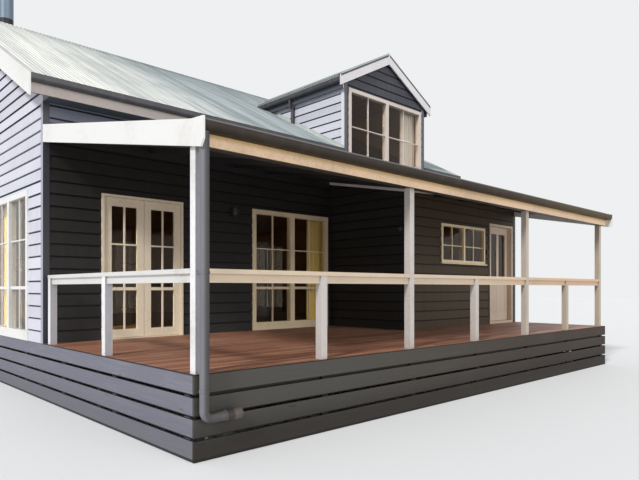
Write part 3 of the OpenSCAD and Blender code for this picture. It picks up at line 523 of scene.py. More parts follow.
def painted_metal(name, colour, pale, streaks=0.5):
    """Painted gutter or flashing metal, dusty and streaked."""
    f = Finish(name)
    cloud = f.noise(2)
    drip = f.noise((9, 9, 1.5), detail=5)
    fleck = f.noise(90)
    base = f.blend(cloud, shade(colour, 0.88), shade(colour, 1.14))
    dusty = f.blend((drip * 0.7 + cloud * 0.4).step(0.45, 0.85) * streaks, base, pale)
    return f.surface(dusty, 0.34 + cloud * 0.2, fleck * 0.3 + cloud * 0.6, 0.0008, Metallic=0.1)


def verandah_gutter_metal():
    """Brown gutter, darker low down and browner to the right, with a painted highlight along the
    bead of its lip.
    """
    f = Finish("verandah_gutter_metal")
    x, _, z = f.house()
    # Above this height the lip is painted pale as a painted highlight
    bead = 2.2685
    cloud = f.noise(2)
    drip = f.noise((7, 7, 1.5), detail=5)
    fleck = f.noise(90)
    height = z + cloud * 0.004
    brown = f.coats((0.028, 0.019, 0.011), (height.step(2.17, 2.27), (0.036, 0.026, 0.022)),
                    (x.step(4.0, 9.0), (0.085, 0.058, 0.03)),
                    (drip.step(0.45, 0.75) * 0.3, (0.075, 0.062, 0.048)),
                    (height > bead, (0.16, 0.155, 0.15)))
    return f.surface(brown, 0.55 + cloud * 0.2, fleck * 0.3 + cloud * 0.6, 0.0008,
                     Specular_IOR_Level=0.25)


def downpipe_plastic():
    """Grey pipe with painted sunlight on its left side and painted shade round the rest, stained
    brown at its foot, with a dark ring in its socket.
    """
    f = Finish("downpipe_plastic")
    x, _, z = f.house()
    cloud = f.noise((7, 7, 3))
    fine = f.noise((60, 60, 12), detail=4)
    left = f.blend(cloud, (0.125, 0.124, 0.14), (0.18, 0.178, 0.2))
    front = f.blend(cloud, (0.04, 0.039, 0.042), (0.06, 0.058, 0.06))
    foot = 1 - z.step(-0.325, -0.305)
    stain = foot * x.step(0.1, 0.3) * (fine * 0.5 + cloud * 0.6).step(0.38, 0.72)
    ring_from, ring_to = 0.284, 0.362
    ring = foot * (x > ring_from) * (x < ring_to)
    # Painted sunlight on faces towards the left, painted shade on the rest
    grey = f.coats(left, (f.facing()[0].step(-0.85, -0.15), front),
                   (stain * 0.8, (0.13, 0.088, 0.06)), (ring, (0.02, 0.018, 0.017)))
    return f.surface(grey, 0.42 + fine * 0.2, fine * 0.4, 0.0008)


def brushed_steel():
    f = Finish("brushed_steel")
    brush = f.noise((400, 400, 12), detail=2)
    base = f.blend(f.noise(20), (0.5, 0.49, 0.47), (0.66, 0.65, 0.62))
    return f.surface(base, 0.26 + brush * 0.14, brush, 0.0002, Metallic=1.0)


def flue_metal():
    """Dull grey flue on a black boot, sooty under its cowl."""
    f = Finish("flue_metal")
    z = f.house()[2]
    boot_top = 6.405
    cloud = f.noise((5, 5, 2))
    fine = f.noise((60, 60, 10), detail=4)
    metal = f.blend(cloud, (0.115, 0.15, 0.2), (0.19, 0.24, 0.3))
    soot = (z + cloud * 0.3).step(boot_top + 0.56, boot_top + 0.76) * 0.7
    sooty = f.coats(metal, (z < boot_top, (0.022, 0.021, 0.024)), (soot, (0.06, 0.055, 0.05)))
    return f.surface(sooty, 0.4 + fine * 0.2, fine * 0.5, 0.0006, Metallic=0.5)


def lamp_black():
    f = Finish("lamp_black")
    cloud = f.noise(30)
    base = f.blend(cloud, (0.012, 0.012, 0.013), (0.035, 0.034, 0.034))
    return f.surface(base, 0.34 + cloud * 0.16, f.noise(300), 0.0003)


def opal_glass():
    f = Finish("opal_glass")
    cloud = f.noise(25)
    base = f.blend(cloud, (0.06, 0.06, 0.062), (0.1, 0.1, 0.1))
    return f.surface(base, 0.1 + cloud * 0.08, cloud, 0.0002, Coat_Weight=0.6)


def rough_concrete():
    f = Finish("rough_concrete")
    cloud = f.noise(4, detail=5)
    grit = f.noise(70, detail=4)
    base = f.blend(cloud * 0.6 + grit * 0.4, (0.24, 0.23, 0.21), (0.42, 0.4, 0.37))
    return f.surface(base, 0.8 + grit * 0.1, grit, 0.003)


def curtain_cloth():
    """Loosely woven cotton, warm cream below and nearly white in the dormer."""
    f = Finish("curtain_cloth")
    x, y, z = f.axes()
    thread = 2400.0
    weave = ((z * thread).sine() * 0.5 + 0.5) * 0.5 + ((x + y) * thread).sine() * 0.25
    slub = f.noise((40, 40, 600))
    mottle = f.noise((3, 3, 1)) * 0.6 + slub * 0.4
    cream = f.blend(mottle, (0.9, 0.72, 0.27), (0.98, 0.83, 0.36))
    white = f.blend(mottle, (0.5, 0.47, 0.46), (0.6, 0.58, 0.57))
    base = f.blend(f.house()[2] > DORMER_FOOT, cream, white)
    return f.surface(base, 0.8 + slub * 0.1, weave * 0.5 + slub * 0.5, 0.0006,
                     Sheen_Weight=0.3, Sheen_Roughness=0.5)


def window_glass():
    """Clear panes that let lamps shine through; those at the back and right of the house are tinted
    near black as painted shade.
    """
    f = Finish("window_glass")
    x, y, _ = f.house()
    dust = f.noise((9, 9, 5), detail=4)
    clean = f.blend(dust, (0.86, 0.81, 0.73), (0.9, 0.86, 0.8))
    # The far panes are tinted near black as painted shade
    rear_half = y > RIDGE_Y + 1.0
    far_panes_shaded = rear_half.top(x > HOUSE_W - WALL_IN)
    pane = f.node("BsdfPrincipled", inputs={
        "Base Color": f.blend(far_panes_shaded, clean, (0.06, 0.048, 0.038)), "Roughness": dust * 0.05,
        "Normal": f.bump(f.noise(2.5, detail=1), 0.0012), "IOR": 1.2,
        "Transmission Weight": 1.0})
    lamp_ray = f.node("LightPath", out="Is Shadow Ray")
    clear = f.node("BsdfTransparent", inputs={"Color": (0.9, 0.88, 0.83)})
    f.make("OutputMaterial", inputs={
        "Surface": f.node("MixShader", inputs={0: lamp_ray, 1: pane, 2: clear})})
    return f.owner


paints = {
    "slate": weatherboard_paint("slate_boards", (0.05, 0.049, 0.062), (0.15, 0.145, 0.17), 0.25),
    # A lighter, bluer copy of the slate paint as painted skylight, for the wall above the verandah
    # roof
    "slate_skylit": weatherboard_paint("slate_boards_painted_skylight", (0.16, 0.165, 0.215),
                                      (0.22, 0.225, 0.27), 0.25),
    # A near-black copy of the slate paint as painted shade, for the walls under the verandah
    "slate_shaded": weatherboard_paint("slate_boards_painted_shade", (0.025, 0.023, 0.021),
                                     (0.06, 0.055, 0.048), 0.25, (0.005, 0.005, 0.005)),
    # A warm brown copy of the slate paint as painted bounce light, for the sunroom's front
    "slate_bounce_lit": weatherboard_paint("slate_boards_painted_bounce", (0.062, 0.041, 0.02),
                                     (0.13, 0.092, 0.055), 0.25),
    # A near-white copy of the slate paint as painted sunlight, for the faces towards the left
    "slate_sunlit": weatherboard_paint("slate_boards_painted_sun", (0.58, 0.58, 0.65),
                                      (0.68, 0.68, 0.72), 0.8, (0.045, 0.048, 0.06)),
    "corner": corner_paint(),
    "dormer_trim": dormer_trim_paint(),
    "white": old_paint("white_trim", lambda f: (0.76, 0.75, 0.73), (0.42, 0.38, 0.31),
                       0.56, 0.3, dull=0.2),
    "post": old_paint("post_paint", post_colour, (0.3, 0.26, 0.22), 0.52, 0.45),
    "rail": old_paint("rail_paint", rail_colour, (0.36, 0.29, 0.21), 0.54, 0.4, LEVEL),
    "cream": old_paint("frame_paint", frame_colour, (0.36, 0.3, 0.24), 0.54, 0.35),
    "door_cream": old_paint("door_paint", door_colour, (0.42, 0.34, 0.25), 0.54, 0.3),
    "beam": beam_paint(),
    "eave": eave_paint(),
    "rafter": old_paint("rafter_paint", lambda f: (0.022, 0.02, 0.02), (0.045, 0.042, 0.038),
                        0.56, 0.5, dull=0.2),
    "skirt": skirt_paint("skirt_boards", (0.054, 0.05, 0.043), (0.032, 0.021, 0.015),
                         (0.08, 0.074, 0.066), (0.04, 0.031, 0.023), (0.014, 0.011, 0.009)),
    # A pale copy of the skirt paint as painted sunlight, for the skirts on the left side
    "skirt_side_sunlit": skirt_paint("skirt_boards_painted_sun", (0.135, 0.135, 0.165),
                              (0.08, 0.08, 0.1), (0.27, 0.27, 0.31), (0.15, 0.145, 0.155),
                              (0.15, 0.15, 0.18)),
    "deck": deck_timber(),
    "floor": plain_timber("pine_floor", (0.44, 0.26, 0.13), (0.25, 0.13, 0.06), 1),
    "frame": plain_timber("sawn_frame", (0.024, 0.018, 0.013), (0.012, 0.009, 0.006)),
    "ceiling": plain_timber("pine_lining", (0.4, 0.22, 0.1), (0.25, 0.13, 0.055), 0),
    "lining": wall_lining(),
    "roof": roof_sheet("roof_sheets", 0, 0.02 - VERGE),
    "dormer_roof": roof_sheet("dormer_sheets", 1, DORMER_Y - 0.04),
    "verandah_roof": roof_sheet("verandah_sheets", 0, CLAD, (0.58, 0.6, 0.57)),
    "roof_slab": roof_slab(),
    "flashing": painted_metal("flashing_metal", (0.46, 0.49, 0.46), (0.62, 0.62, 0.56), 0.6),
    "gutter": painted_metal("slate_gutter", (0.046, 0.044, 0.052), (0.11, 0.105, 0.11)),
    "brown_gutter": verandah_gutter_metal(),
    "pipe": downpipe_plastic(),
    "steel": brushed_steel(),
    "flue": flue_metal(),
    "lamp": lamp_black(),
    "opal": opal_glass(),
    "concrete": rough_concrete(),
    "cloth": curtain_cloth(),
    "glass": window_glass(),
}

CAD_FINISHES = {
    "concrete": ["stumps"],
    "frame": ["floor_bearers", "floor_joists"],
    "floor": ["house_floor"],
    "ceiling": ["upper_floor"],
    "roof_slab": ["main_roof_front", "main_roof_rear", "dormer_roof"],
    "lining": ["front_wall", "walls_over_openings", "sunroom_side_wall", "sunroom_front_wall",
               "left_gable_wall", "right_gable_wall", "rear_wall", "dormer_front_wall",
               "dormer_cheeks"],
    "corner": ["corner_boards"],
    "dormer_trim": ["dormer_trim"],
    "skirt": ["front_and_rear_skirts"],
    "skirt_side_sunlit": ["side_skirts"],
    "cream": ["front_window_frames", "rear_window_frames"],
    "door_cream": ["french_door_frame", "french_door_left", "french_door_right",
                   "entry_door_frame", "entry_door"],
    "beam": ["verandah_beam"],
    "glass": ["window_glass", "french_door_left_glass", "french_door_right_glass",
              "entry_door_glass"],
    "steel": ["french_door_handle", "entry_door_handle", "door_hinges"],
    "white": ["barge_boards", "gable_window_frames", "verandah_raking_boards"],
    "post": ["verandah_posts"],
    "rail": ["handrails"],
    "eave": ["eaves"],
    "rafter": ["verandah_rafters", "verandah_roof"],
    "gutter": ["main_gutters", "dormer_gutters"],
    "brown_gutter": ["verandah_gutter"],
    "flue": ["flue"],
    "pipe": ["corner_downpipe"],
    "lamp": ["wall_lamps"],
}


def coat_frame_nodes():
    """Gives each carried-over node its finish."""
    for finish, names in CAD_FINISHES.items():
        for name in names:
            mesh = nodes[name].data
            mesh.materials.clear()
            mesh.materials.append(paints[finish])


# Making pieces

def finish_piece(mesh, name, paint, body="root", smooth=False):
    """Turns a bmesh in house coordinates into a piece that rides on a body."""
    bmesh.ops.recalc_face_normals(mesh, faces=mesh.faces)
    data = bpy.data.meshes.new(name)
    bmesh.ops.translate(mesh, verts=mesh.verts, vec=ORIGIN)
    mesh.to_mesh(data)
    mesh.free()
    data.materials.append(paints[paint])
    if smooth:
        data.shade_smooth()
    piece = bpy.data.objects.new(name, data)
    bpy.context.scene.collection.objects.link(piece)
    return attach(piece, body)


def add_solid(mesh, rings):
    """Skins a row of rings of points, and caps both ends."""
    made = [[mesh.verts.new(point) for point in ring] for ring in rings]
    count = len(made[0])
    for first, second in zip(made, made[1:]):
        for i in range(count):
            j = (i + 1) % count
            mesh.faces.new((first[i], first[j], second[j], second[i]))
    mesh.faces.new(made[0])
    mesh.faces.new(made[-1])


def add_block(mesh, low, high, ease=0.0, stand=None):
    """A bar with its long edges eased; low and high are opposite corners."""
    size = [b - a for a, b in zip(low, high)]
    run = size.index(max(size))
    a, b = [axis for axis in range(3) if axis != run]
    w, h = size[a], size[b]
    corners = [(0, 0), (w, 0), (w, h), (0, h)]
    if ease:
        corners = [(0, ease), (ease, 0), (w - ease, 0), (w, ease), (w, h - ease), (w - ease, h),
                   (ease, h), (0, h - ease)]
    rings = []
    for at in (low[run], high[run]):
        ring = []
        for u, v in corners:
            point = [0.0, 0.0, 0.0]
            point[run], point[a], point[b] = at, low[a] + u, low[b] + v
            ring.append(stand(*point) if stand else point)
        rings.append(ring)
    add_solid(mesh, rings)


def add_turned(mesh, centre, axis, outline, count, straight=0.0):
    """Turns an outline of (distance along the axis, radius) about an axis through centre.
    straight draws the circle out into an upright oval."""
    a, b = [i for i in range(3) if i != axis]
    rings = []
    for along, radius in outline:
        ring = []
        for i in range(count):
            turn = 2 * math.pi * i / count
            rise = radius * math.sin(turn)
            point = list(centre)
            point[axis] += along
            point[a] += radius * math.cos(turn)
            point[b] += rise + math.copysign(straight / 2, rise)
            ring.append(point)
        rings.append(ring)
    add_solid(mesh, rings)


def add_skin(mesh, rows):
    """Faces through rows of points."""
    made = [[mesh.verts.new(point) for point in row] for row in rows]
    return [mesh.faces.new((first[i], first[i + 1], second[i + 1], second[i]))
            for first, second in zip(made, made[1:]) for i in range(len(first) - 1)]


def thicken(mesh, faces, thick):
    bmesh.ops.recalc_face_normals(mesh, faces=faces)
    bmesh.ops.solidify(mesh, geom=faces, thickness=thick)


def add_folded(mesh, rows, thick=0.0012):
    """A strip of sheet metal or cloth through rows of points."""
    thicken(mesh, add_skin(mesh, rows), thick)


def cut_along(mesh, axis, at, faces=None):
    """Cuts all faces, or those given, by the plane at one value of an axis."""
    chosen = list(faces if faces is not None else mesh.faces)
    edges = {edge for face in chosen for edge in face.edges}
    verts = {vert for face in chosen for vert in face.verts}
    point, normal = Vector((0, 0, 0)), Vector((0, 0, 0))
    point[axis], normal[axis] = at, 1.0
    bmesh.ops.bisect_plane(mesh, geom=chosen + list(edges) + list(verts), dist=1e-6,
                           plane_co=point, plane_no=normal)


def drop_faces(mesh, inside):
    """Deletes the faces whose middle is where inside says."""
    gone = [face for face in mesh.faces if inside(face.calc_center_median())]
    bmesh.ops.delete(mesh, geom=gone, context="FACES")


# Boards

def on_wall(axis, at, inwards=1):
    """How a flat drawing of (along, depth, height) stands on a wall that an axis crosses."""
    def stand(u, depth, z):
        across = at + inwards * depth
        return (u, across, z) if axis else (across, u, z)
    return stand


ON_FRONT = on_wall(1, FRONT_Y)
ON_REAR = on_wall(1, REAR_Y, -1)
ON_LEFT = on_wall(0, 0.0)
ON_RIGHT = on_wall(0, HOUSE_W, -1)
ON_SUNROOM = on_wall(1, SUN_Y)
ON_DORMER = on_wall(1, DORMER_Y)


def lap_depth(height):
    """How far a board's face lies behind the wall's face, at a height above its lower edge."""
    for (low, near), (high, far) in zip(LAP, LAP[1:]):
        if height <= high + 1e-6:
            return near + (far - near) * (height - low) / (high - low)
    return LAP[-1][1]


def lapped_boards(name, outlines, holes, stand, paint):
    """Weatherboards over a wall: outlines and holes in (along, height), butt joints staggered."""
    longest, gap = 4.8, 0.002
    mesh = bmesh.new()
    for outline in outlines:
        mesh.faces.new([mesh.verts.new((u, 0.0, z)) for u, z in outline])
    heights = [vert.co.z for vert in mesh.verts]
    courses = range(math.floor(min(heights) / BOARD), math.ceil(max(heights) / BOARD))
    for course in courses:
        for height, _ in LAP[:-1]:
            cut_along(mesh, 2, course * BOARD + height)
    for left, low, right, high in holes:
        for u in (left, right):
            cut_along(mesh, 0, u)
        for z in (low, high):
            cut_along(mesh, 2, z)
        drop_faces(mesh, lambda c: left < c.x < right and low < c.z < high)
    lengths = [vert.co.x for vert in mesh.verts]
    start, end = min(lengths), max(lengths)
    for course in courses:
        def on_course(middle):
            return course * BOARD < middle.z < (course + 1) * BOARD

        def course_faces():
            return [face for face in mesh.faces if on_course(face.calc_center_median())]

        at = start + chance.uniform(0.3, 1.0) * longest
        while at < end - 0.5:
            cut_along(mesh, 0, at, course_faces())
            cut_along(mesh, 0, at + gap, course_faces())
            drop_faces(mesh, lambda c: at < c.x < at + gap and on_course(c))
            at += longest
        bmesh.ops.split(mesh, geom=course_faces())
    for face in mesh.faces:
        course = math.floor(face.calc_center_median().z / BOARD)
        for vert in face.verts:
            vert.co.y = lap_depth(vert.co.z - course * BOARD)
    raised = bmesh.ops.extrude_face_region(mesh, geom=list(mesh.faces), use_keep_orig=True)
    for item in raised["geom"]:
        if isinstance(item, bmesh.types.BMVert):
            item.co.y = CLAD
    for vert in mesh.verts:
        vert.co = stand(*vert.co)
    finish_piece(mesh, name, paint)


def oblong(left, right, low, high):
    return [(left, low), (right, low), (right, high), (left, high)]


def wall_boards():
    """Weatherboards on every wall."""
    leg, far = CORNER_LEG, HOUSE_W - CORNER_LEG

    def under_roof(y):
        return (y, roof_z(y) - ROOF_T)

    def under_dormer(x):
        return (x, dormer_z(x) - DORMER_ROOF_T)

    lapped_boards("front_wall_boards", [oblong(leg, SUN_X, 0, LEDGER_LOW)], [FRENCH, DINING],
                  ON_FRONT, "slate_shaded")
    lapped_boards("front_wall_top_boards", [oblong(leg, far, UPSTAND_TOP, SOFFIT)], [],
                  ON_FRONT, "slate_skylit")
    near, inner = SUN_Y + leg, FRONT_Y + CLAD
    lapped_boards("sunroom_side_boards", [
        [(near, 0), (inner, 0), (inner, lean_z(FRONT_Y) - LEAN_T), (near, lean_z(near) - LEAN_T)]],
        [], on_wall(0, SUN_X), "slate_shaded")
    left, low, right, _ = SUN_WINDOW
    sill = (left - 0.03, low - 0.03, right + 0.03, low)
    lapped_boards("sunroom_front_boards",
                  [oblong(SUN_X + leg, far, 0, lean_z(SUN_Y) - LEAN_T)],
                  [ENTRY, SUN_WINDOW, sill], ON_SUNROOM, "slate_bounce_lit")
    gable = [(FRONT_Y, 0), (REAR_Y, 0), under_roof(REAR_Y), under_roof(RIDGE_Y),
             under_roof(FRONT_Y)]
    windows = [GABLE_FRONT, GABLE_REAR, ATTIC, (REAR_Y - leg, -1.0, REAR_Y + leg, SOFFIT)]
    lapped_boards("left_gable_boards", [gable],
                  windows + [(FRONT_Y - leg, -1.0, FRONT_Y + leg, SOFFIT)], ON_LEFT, "slate_sunlit")
    back = FRONT_Y - 0.001
    lapped_boards("right_gable_boards", [
        gable,
        [(near, 0), (back, 0), (back, lean_z(FRONT_Y) - RAKE_H), (near, lean_z(near) - RAKE_H)]],
        windows + [(FRONT_Y - 0.0005, UPSTAND_TOP, FRONT_Y + leg, SOFFIT)], ON_RIGHT, "slate")
    lapped_boards("rear_wall_boards", [oblong(leg, far, 0, SOFFIT)],
                  [REAR_LEFT, REAR_RIGHT, REAR_TALL], ON_REAR, "slate")
    left, right = DORMER_LEFT + leg, DORMER_RIGHT - leg
    lapped_boards("dormer_front_boards", [
        [(left, DORMER_FOOT), (right, DORMER_FOOT), under_dormer(right), under_dormer(DORMER_X),
         under_dormer(left)]], [DORMER_WINDOW], ON_DORMER, "slate")
    _, top = under_dormer(DORMER_LEFT)
    near = DORMER_Y + leg
    cheek = [(near, roof_z(near)), (FRONT_Y + (top - ROOF_AT_WALL) / RISE, top), (near, top)]
    lapped_boards("dormer_left_boards", [cheek], [], on_wall(0, DORMER_LEFT), "slate_sunlit")
    lapped_boards("dormer_right_boards", [cheek], [], on_wall(0, DORMER_RIGHT, -1), "slate")


def deck_boards():
    """Deck boards along the front with gaps, joined over the joists and screwed down."""
    mesh, heads = bmesh.new(), bmesh.new()
    inset, thick, screw_in = 0.027, 0.025, 0.022
    head = [(-0.001, 0.0045), (0.0006, 0.0045), (0.0010, 0.003)]
    joist_in, bays = 0.085, 13
    joists = [joist_in + i * (HOUSE_W - 2 * joist_in) / bays for i in range(bays + 1)]
    y = inset
    while y < FRONT_Y - 0.02:
        high = min(y + DECK_BOARD, FRONT_Y)
        if y < SUN_Y < high + DECK_GAP:
            high = SUN_Y
        end = HOUSE_W - inset if y < SUN_Y - 0.01 else SUN_X
        joints = sorted(chance.sample(joists[2:-2], 2))
        marks = [inset] + [mark for mark in joints if mark < end - 0.4] + [end]
        for a, b in zip(marks, marks[1:]):
            add_block(mesh, (a + 0.001, y, -thick), (b - 0.001, high, 0.0), 0.004)
        for x in joists:
            if x < end - 0.02:
                for at in (y + screw_in, high - screw_in):
                    add_turned(heads, (x, at, 0.0), 2, head, 6)
        y = high + DECK_GAP
    boards = finish_piece(mesh, "deck_boards", "deck")
    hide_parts("deck_floor")
    finish_piece(heads, "deck_screws", "steel")


# Roofs

VALLEY = (DORMER_TOP - ROOF_AT_WALL) / RISE + FRONT_Y - DORMER_X
VALLEY_GAP = 0.06


def corrugated(name, across, along, stand, paint, cuts=(), keep=None):
    """Corrugated sheet: across and along are (from, to); cuts are vertical planes as
    (point, direction) in (across, along); keep says which middles stay."""
    start, end = across
    steps = round((end - start) / WAVE * 8)
    wave = [(start + (end - start) * i / steps,
             SHEET_UP + WAVE_DEEP / 2 * (1 - math.cos(2 * math.pi * i / 8)))
            for i in range(steps + 1)]
    mesh = bmesh.new()
    add_skin(mesh, [[(u, v, up) for u, up in wave] for v in along])
    for (u, v), (du, dv) in cuts:
        bmesh.ops.bisect_plane(mesh, geom=mesh.faces[:] + mesh.edges[:] + mesh.verts[:],
                               dist=1e-6, plane_co=(u, v, 0), plane_no=(dv, -du, 0))
    if keep:
        drop_faces(mesh, lambda c: not keep(c.x, c.y))
    thicken(mesh, mesh.faces[:], SHEET_T)
    for vert in mesh.verts:
        vert.co = stand(*vert.co)
    finish_piece(mesh, name, paint)


def on_front_slope(u, v, up):
    return (u, v - up * math.sin(PITCH_ANGLE), roof_z(v) + up * math.cos(PITCH_ANGLE))


def on_rear_slope(u, v, up):
    x, y, z = on_front_slope(u, v, up)
    return (x, 2 * RIDGE_Y - y, z)


def on_dormer_left(u, v, up):
    return (v - up * math.sin(PITCH_ANGLE), u, dormer_z(v) + up * math.cos(PITCH_ANGLE))


def on_dormer_right(u, v, up):
    x, y, z = on_dormer_left(u, v, up)
    return (2 * DORMER_X - x, y, z)


def on_verandah(u, v, up):
    return (u, v, lean_z(v) + up)


def roof_sheets():
    """Corrugated sheets on all five slopes, cut along the dormer's walls and valleys."""
    verge = (0.02 - VERGE, HOUSE_W + VERGE - 0.02)
    slope = (ROOF_LIP_Y, FRONT_Y + 1.6, RIDGE_Y - 0.02)
    clear = 0.012
    left, right = DORMER_LEFT - clear, DORMER_RIGHT + clear
    valley = VALLEY + VALLEY_GAP

    def outside_dormer(x, y):
        return not (left < x < right and y < x + valley and y < 2 * DORMER_X - x + valley)

    corrugated("main_front_sheets", verge, slope, on_front_slope, "roof",
               [((left, 0), (0, 1)), ((right, 0), (0, 1)), ((0, valley), (1, 1)),
                ((0, 2 * DORMER_X + valley), (1, -1))], outside_dormer)
    corrugated("main_rear_sheets", verge, slope, on_rear_slope, "roof")
    for name, stand in (("dormer_left_sheets", on_dormer_left),
                        ("dormer_right_sheets", on_dormer_right)):
        corrugated(name, (DORMER_Y - 0.04, RIDGE_Y),
                   (DORMER_X - DORMER_EAVE + 0.045, DORMER_X - 0.012), stand, "dormer_roof",
                   [((VALLEY - VALLEY_GAP, 0), (1, 1))], lambda y, x: y < x + VALLEY - VALLEY_GAP)
    corrugated("verandah_sheets", (CLAD, HOUSE_W - CLAD), (-0.08, FRONT_Y - 0.004), on_verandah,
               "verandah_roof")


def cap_rows(place, along):
    """Rows of points of a ridge cap: two wings with turned-down edges and a round roll."""
    wing, turned, roll, neck = 0.16, 0.014, 0.019, 0.022
    turns = [math.pi * i / 8 for i in range(9)]
    section = [(-wing, -turned), (-wing, 0.0), (-neck, 0.0)]
    section += [(-roll * math.cos(turn), 0.006 + roll * math.sin(turn)) for turn in turns]
    section += [(neck, 0.0), (wing, 0.0), (wing, -turned)]
    return [[place(at, side, CREST + 0.003 + lift) for side, lift in section] for at in along]


def ridge_capping():
    """Ridge caps over the sheets of the main roof, in six lengths, and of the dormer."""
    mesh = bmesh.new()

    def over_ridge(x, side, lift):
        return (x, RIDGE_Y + side, roof_z(RIDGE_Y + side) + lift)

    def over_dormer(y, side, lift):
        end = VALLEY + DORMER_X - abs(side) + 0.02
        return (DORMER_X + side, min(y, end), dormer_z(DORMER_X + side) + lift)

    start, lengths = 0.022 - VERGE, 6
    ends = [start + i * (HOUSE_W - 2 * start) / lengths for i in range(lengths + 1)]
    for a, b in zip(ends, ends[1:]):
        add_folded(mesh, cap_rows(over_ridge, (a, b - 0.001)))
    add_folded(mesh, cap_rows(over_dormer, (DORMER_Y - 0.05, RIDGE_Y)))
    piece = finish_piece(mesh, "ridge_capping", "roof")
    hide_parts("ridge_caps")


def roof_flashings():
    """Flashings along the dormer's walls, valley gutters and caps over the barges."""
    mesh, caps, leaves = bmesh.new(), bmesh.new(), bmesh.new()
    crest = CREST + 0.003
    skirt = [(0.003, 0.085), (0.003, crest + 0.012), (0.014, crest), (0.11, crest),
             (0.113, crest - 0.012)]
    for side, wall in ((-1, DORMER_LEFT), (1, DORMER_RIGHT)):
        add_folded(mesh, [[(wall + side * out, y, roof_z(y) + up) for out, up in skirt]
                          for y in (ROOF_LIP_Y, DORMER_LEFT + VALLEY - 0.1)])
        rows = []
        for x in (DORMER_X + side * (DORMER_EAVE - 0.05), DORMER_X + side * 0.02):
            y = VALLEY + DORMER_X - abs(x - DORMER_X)
            row = [(x + side * out, y + out, roof_z(y + out) + up)
                   for out, up in ((0.09, 0.004), (0.012, 0.004), (0.0, 0.001))]
            row += [(x - side * out, y - out, dormer_z(x - side * out) + 0.004)
                    for out in (0.012, 0.09)]
            rows.append(row)
        add_folded(mesh, rows)
    finish_piece(mesh, "roof_flashings", "flashing")
    cap = [(0.0, 0.0375), (0.085, 0.0375), (0.088, 0.012)]
    for end in (-1, 1):
        edge = HOUSE_W / 2 + end * (HOUSE_W / 2 + BARGE_OUT - 0.001)
        for back in (-1, 1):
            add_folded(caps, [[(edge - end * out, RIDGE_Y + back * (RIDGE_Y - y), roof_z(y) + up)
                               for out, up in cap] for y in (3.615, RIDGE_Y - 0.17)])
    cap = [(-0.069, 0.012), (-0.069, 0.0), (0.03, 0.0), (0.033, 0.012)]
    for side in (-1, 1):
        ends = [(x, dormer_z(x) + 0.0225)
                for x in (DORMER_X + side * (DORMER_EAVE - 0.01), DORMER_X + side * 0.02)]
        add_folded(caps, [[(x, DORMER_Y + at, z - drop) for at, drop in cap] for x, z in ends])
        add_folded(leaves, [[(x, DORMER_Y - 0.068, z - drop) for drop in (0.050, 0.012)]
                            for x, z in ends])
    finish_piece(caps, "barge_caps", "flashing")
    finish_piece(leaves, "dormer_barge_leaves", "gutter")


def gutter_fittings():
    """Straps over the gutters; the main front gutter stops beside the dormer."""
    verandah, main = bmesh.new(), bmesh.new()

    def add_strap(mesh, x, near, far, z):
        add_block(mesh, (x, near, z), (x + 0.022, far, z + 0.001))

    for i in range(9):
        add_strap(verandah, 0.6 + i * 1.06, -0.142, -0.026, 2.2805)
    finish_piece(verandah, "verandah_gutter_straps", "brown_gutter")
    near, far, top = 3.613, 3.699, 3.6405
    for i in range(10):
        x = 0.3 + i
        if not DORMER_LEFT - 0.05 < x < DORMER_RIGHT + 0.03:
            add_strap(main, x, near, far, top)
        add_strap(main, x, 2 * RIDGE_Y - far, 2 * RIDGE_Y - near, top)
    finish_piece(main, "main_gutter_straps", "gutter")


# Glazing bars

BAR = 0.022
TALL = ((0.084, 0.108, 0.145), [(0.785, 0.050), (1.52, BAR)])
SMALL_FRAME = (0.05, 0.06, 0.05)
SMALL = (SMALL_FRAME, [(1.637, BAR)])


def add_window_bars(mesh, stand, window, kind):
    """Bars on both sides of the glass: one upright in each light, and level ones. A kind is
    the frame's width at the sides, in the middle and at the foot, and (height, width) of
    each level bar."""
    (edge, mid, foot), rails = kind
    left, low, right, high = window
    light = (right - left - 2 * edge - mid) / 2
    for start in (left + edge, right - edge - light):
        middle = start + light / 2
        for near, far in ((0.020, 0.0395), (0.0465, 0.060)):
            add_block(mesh, (middle - BAR / 2, near, low + foot),
                      (middle + BAR / 2, far, high - edge), 0.004, stand)
            for z, tall in rails:
                add_block(mesh, (start, near + 0.001, z - tall / 2),
                          (start + light, far, z + tall / 2), 0.004, stand)


def window_bars():
    """Glazing bars of all windows."""
    front, gable, rear = bmesh.new(), bmesh.new(), bmesh.new()
    add_window_bars(front, ON_FRONT, DINING, TALL)
    add_window_bars(front, ON_SUNROOM, SUN_WINDOW, SMALL)
    add_window_bars(front, ON_DORMER, DORMER_WINDOW, ((0.075, 0.085, 0.06), [(4.145, BAR)]))
    finish_piece(front, "front_window_bars", "cream")
    for stand in (ON_LEFT, ON_RIGHT):
        add_window_bars(gable, stand, GABLE_FRONT, TALL)
        add_window_bars(gable, stand, GABLE_REAR, TALL)
        add_window_bars(gable, stand, ATTIC, (SMALL_FRAME, [(4.25, BAR)]))
    finish_piece(gable, "gable_window_bars", "white")
    for window, kind in ((REAR_LEFT, SMALL), (REAR_RIGHT, SMALL), (REAR_TALL, TALL)):
        add_window_bars(rear, ON_REAR, window, kind)
    finish_piece(rear, "rear_window_bars", "cream")


# Curtains

ROD_BACK = 0.185
ROD_Z = 2.335
DORMER_ROD_Z = 4.97


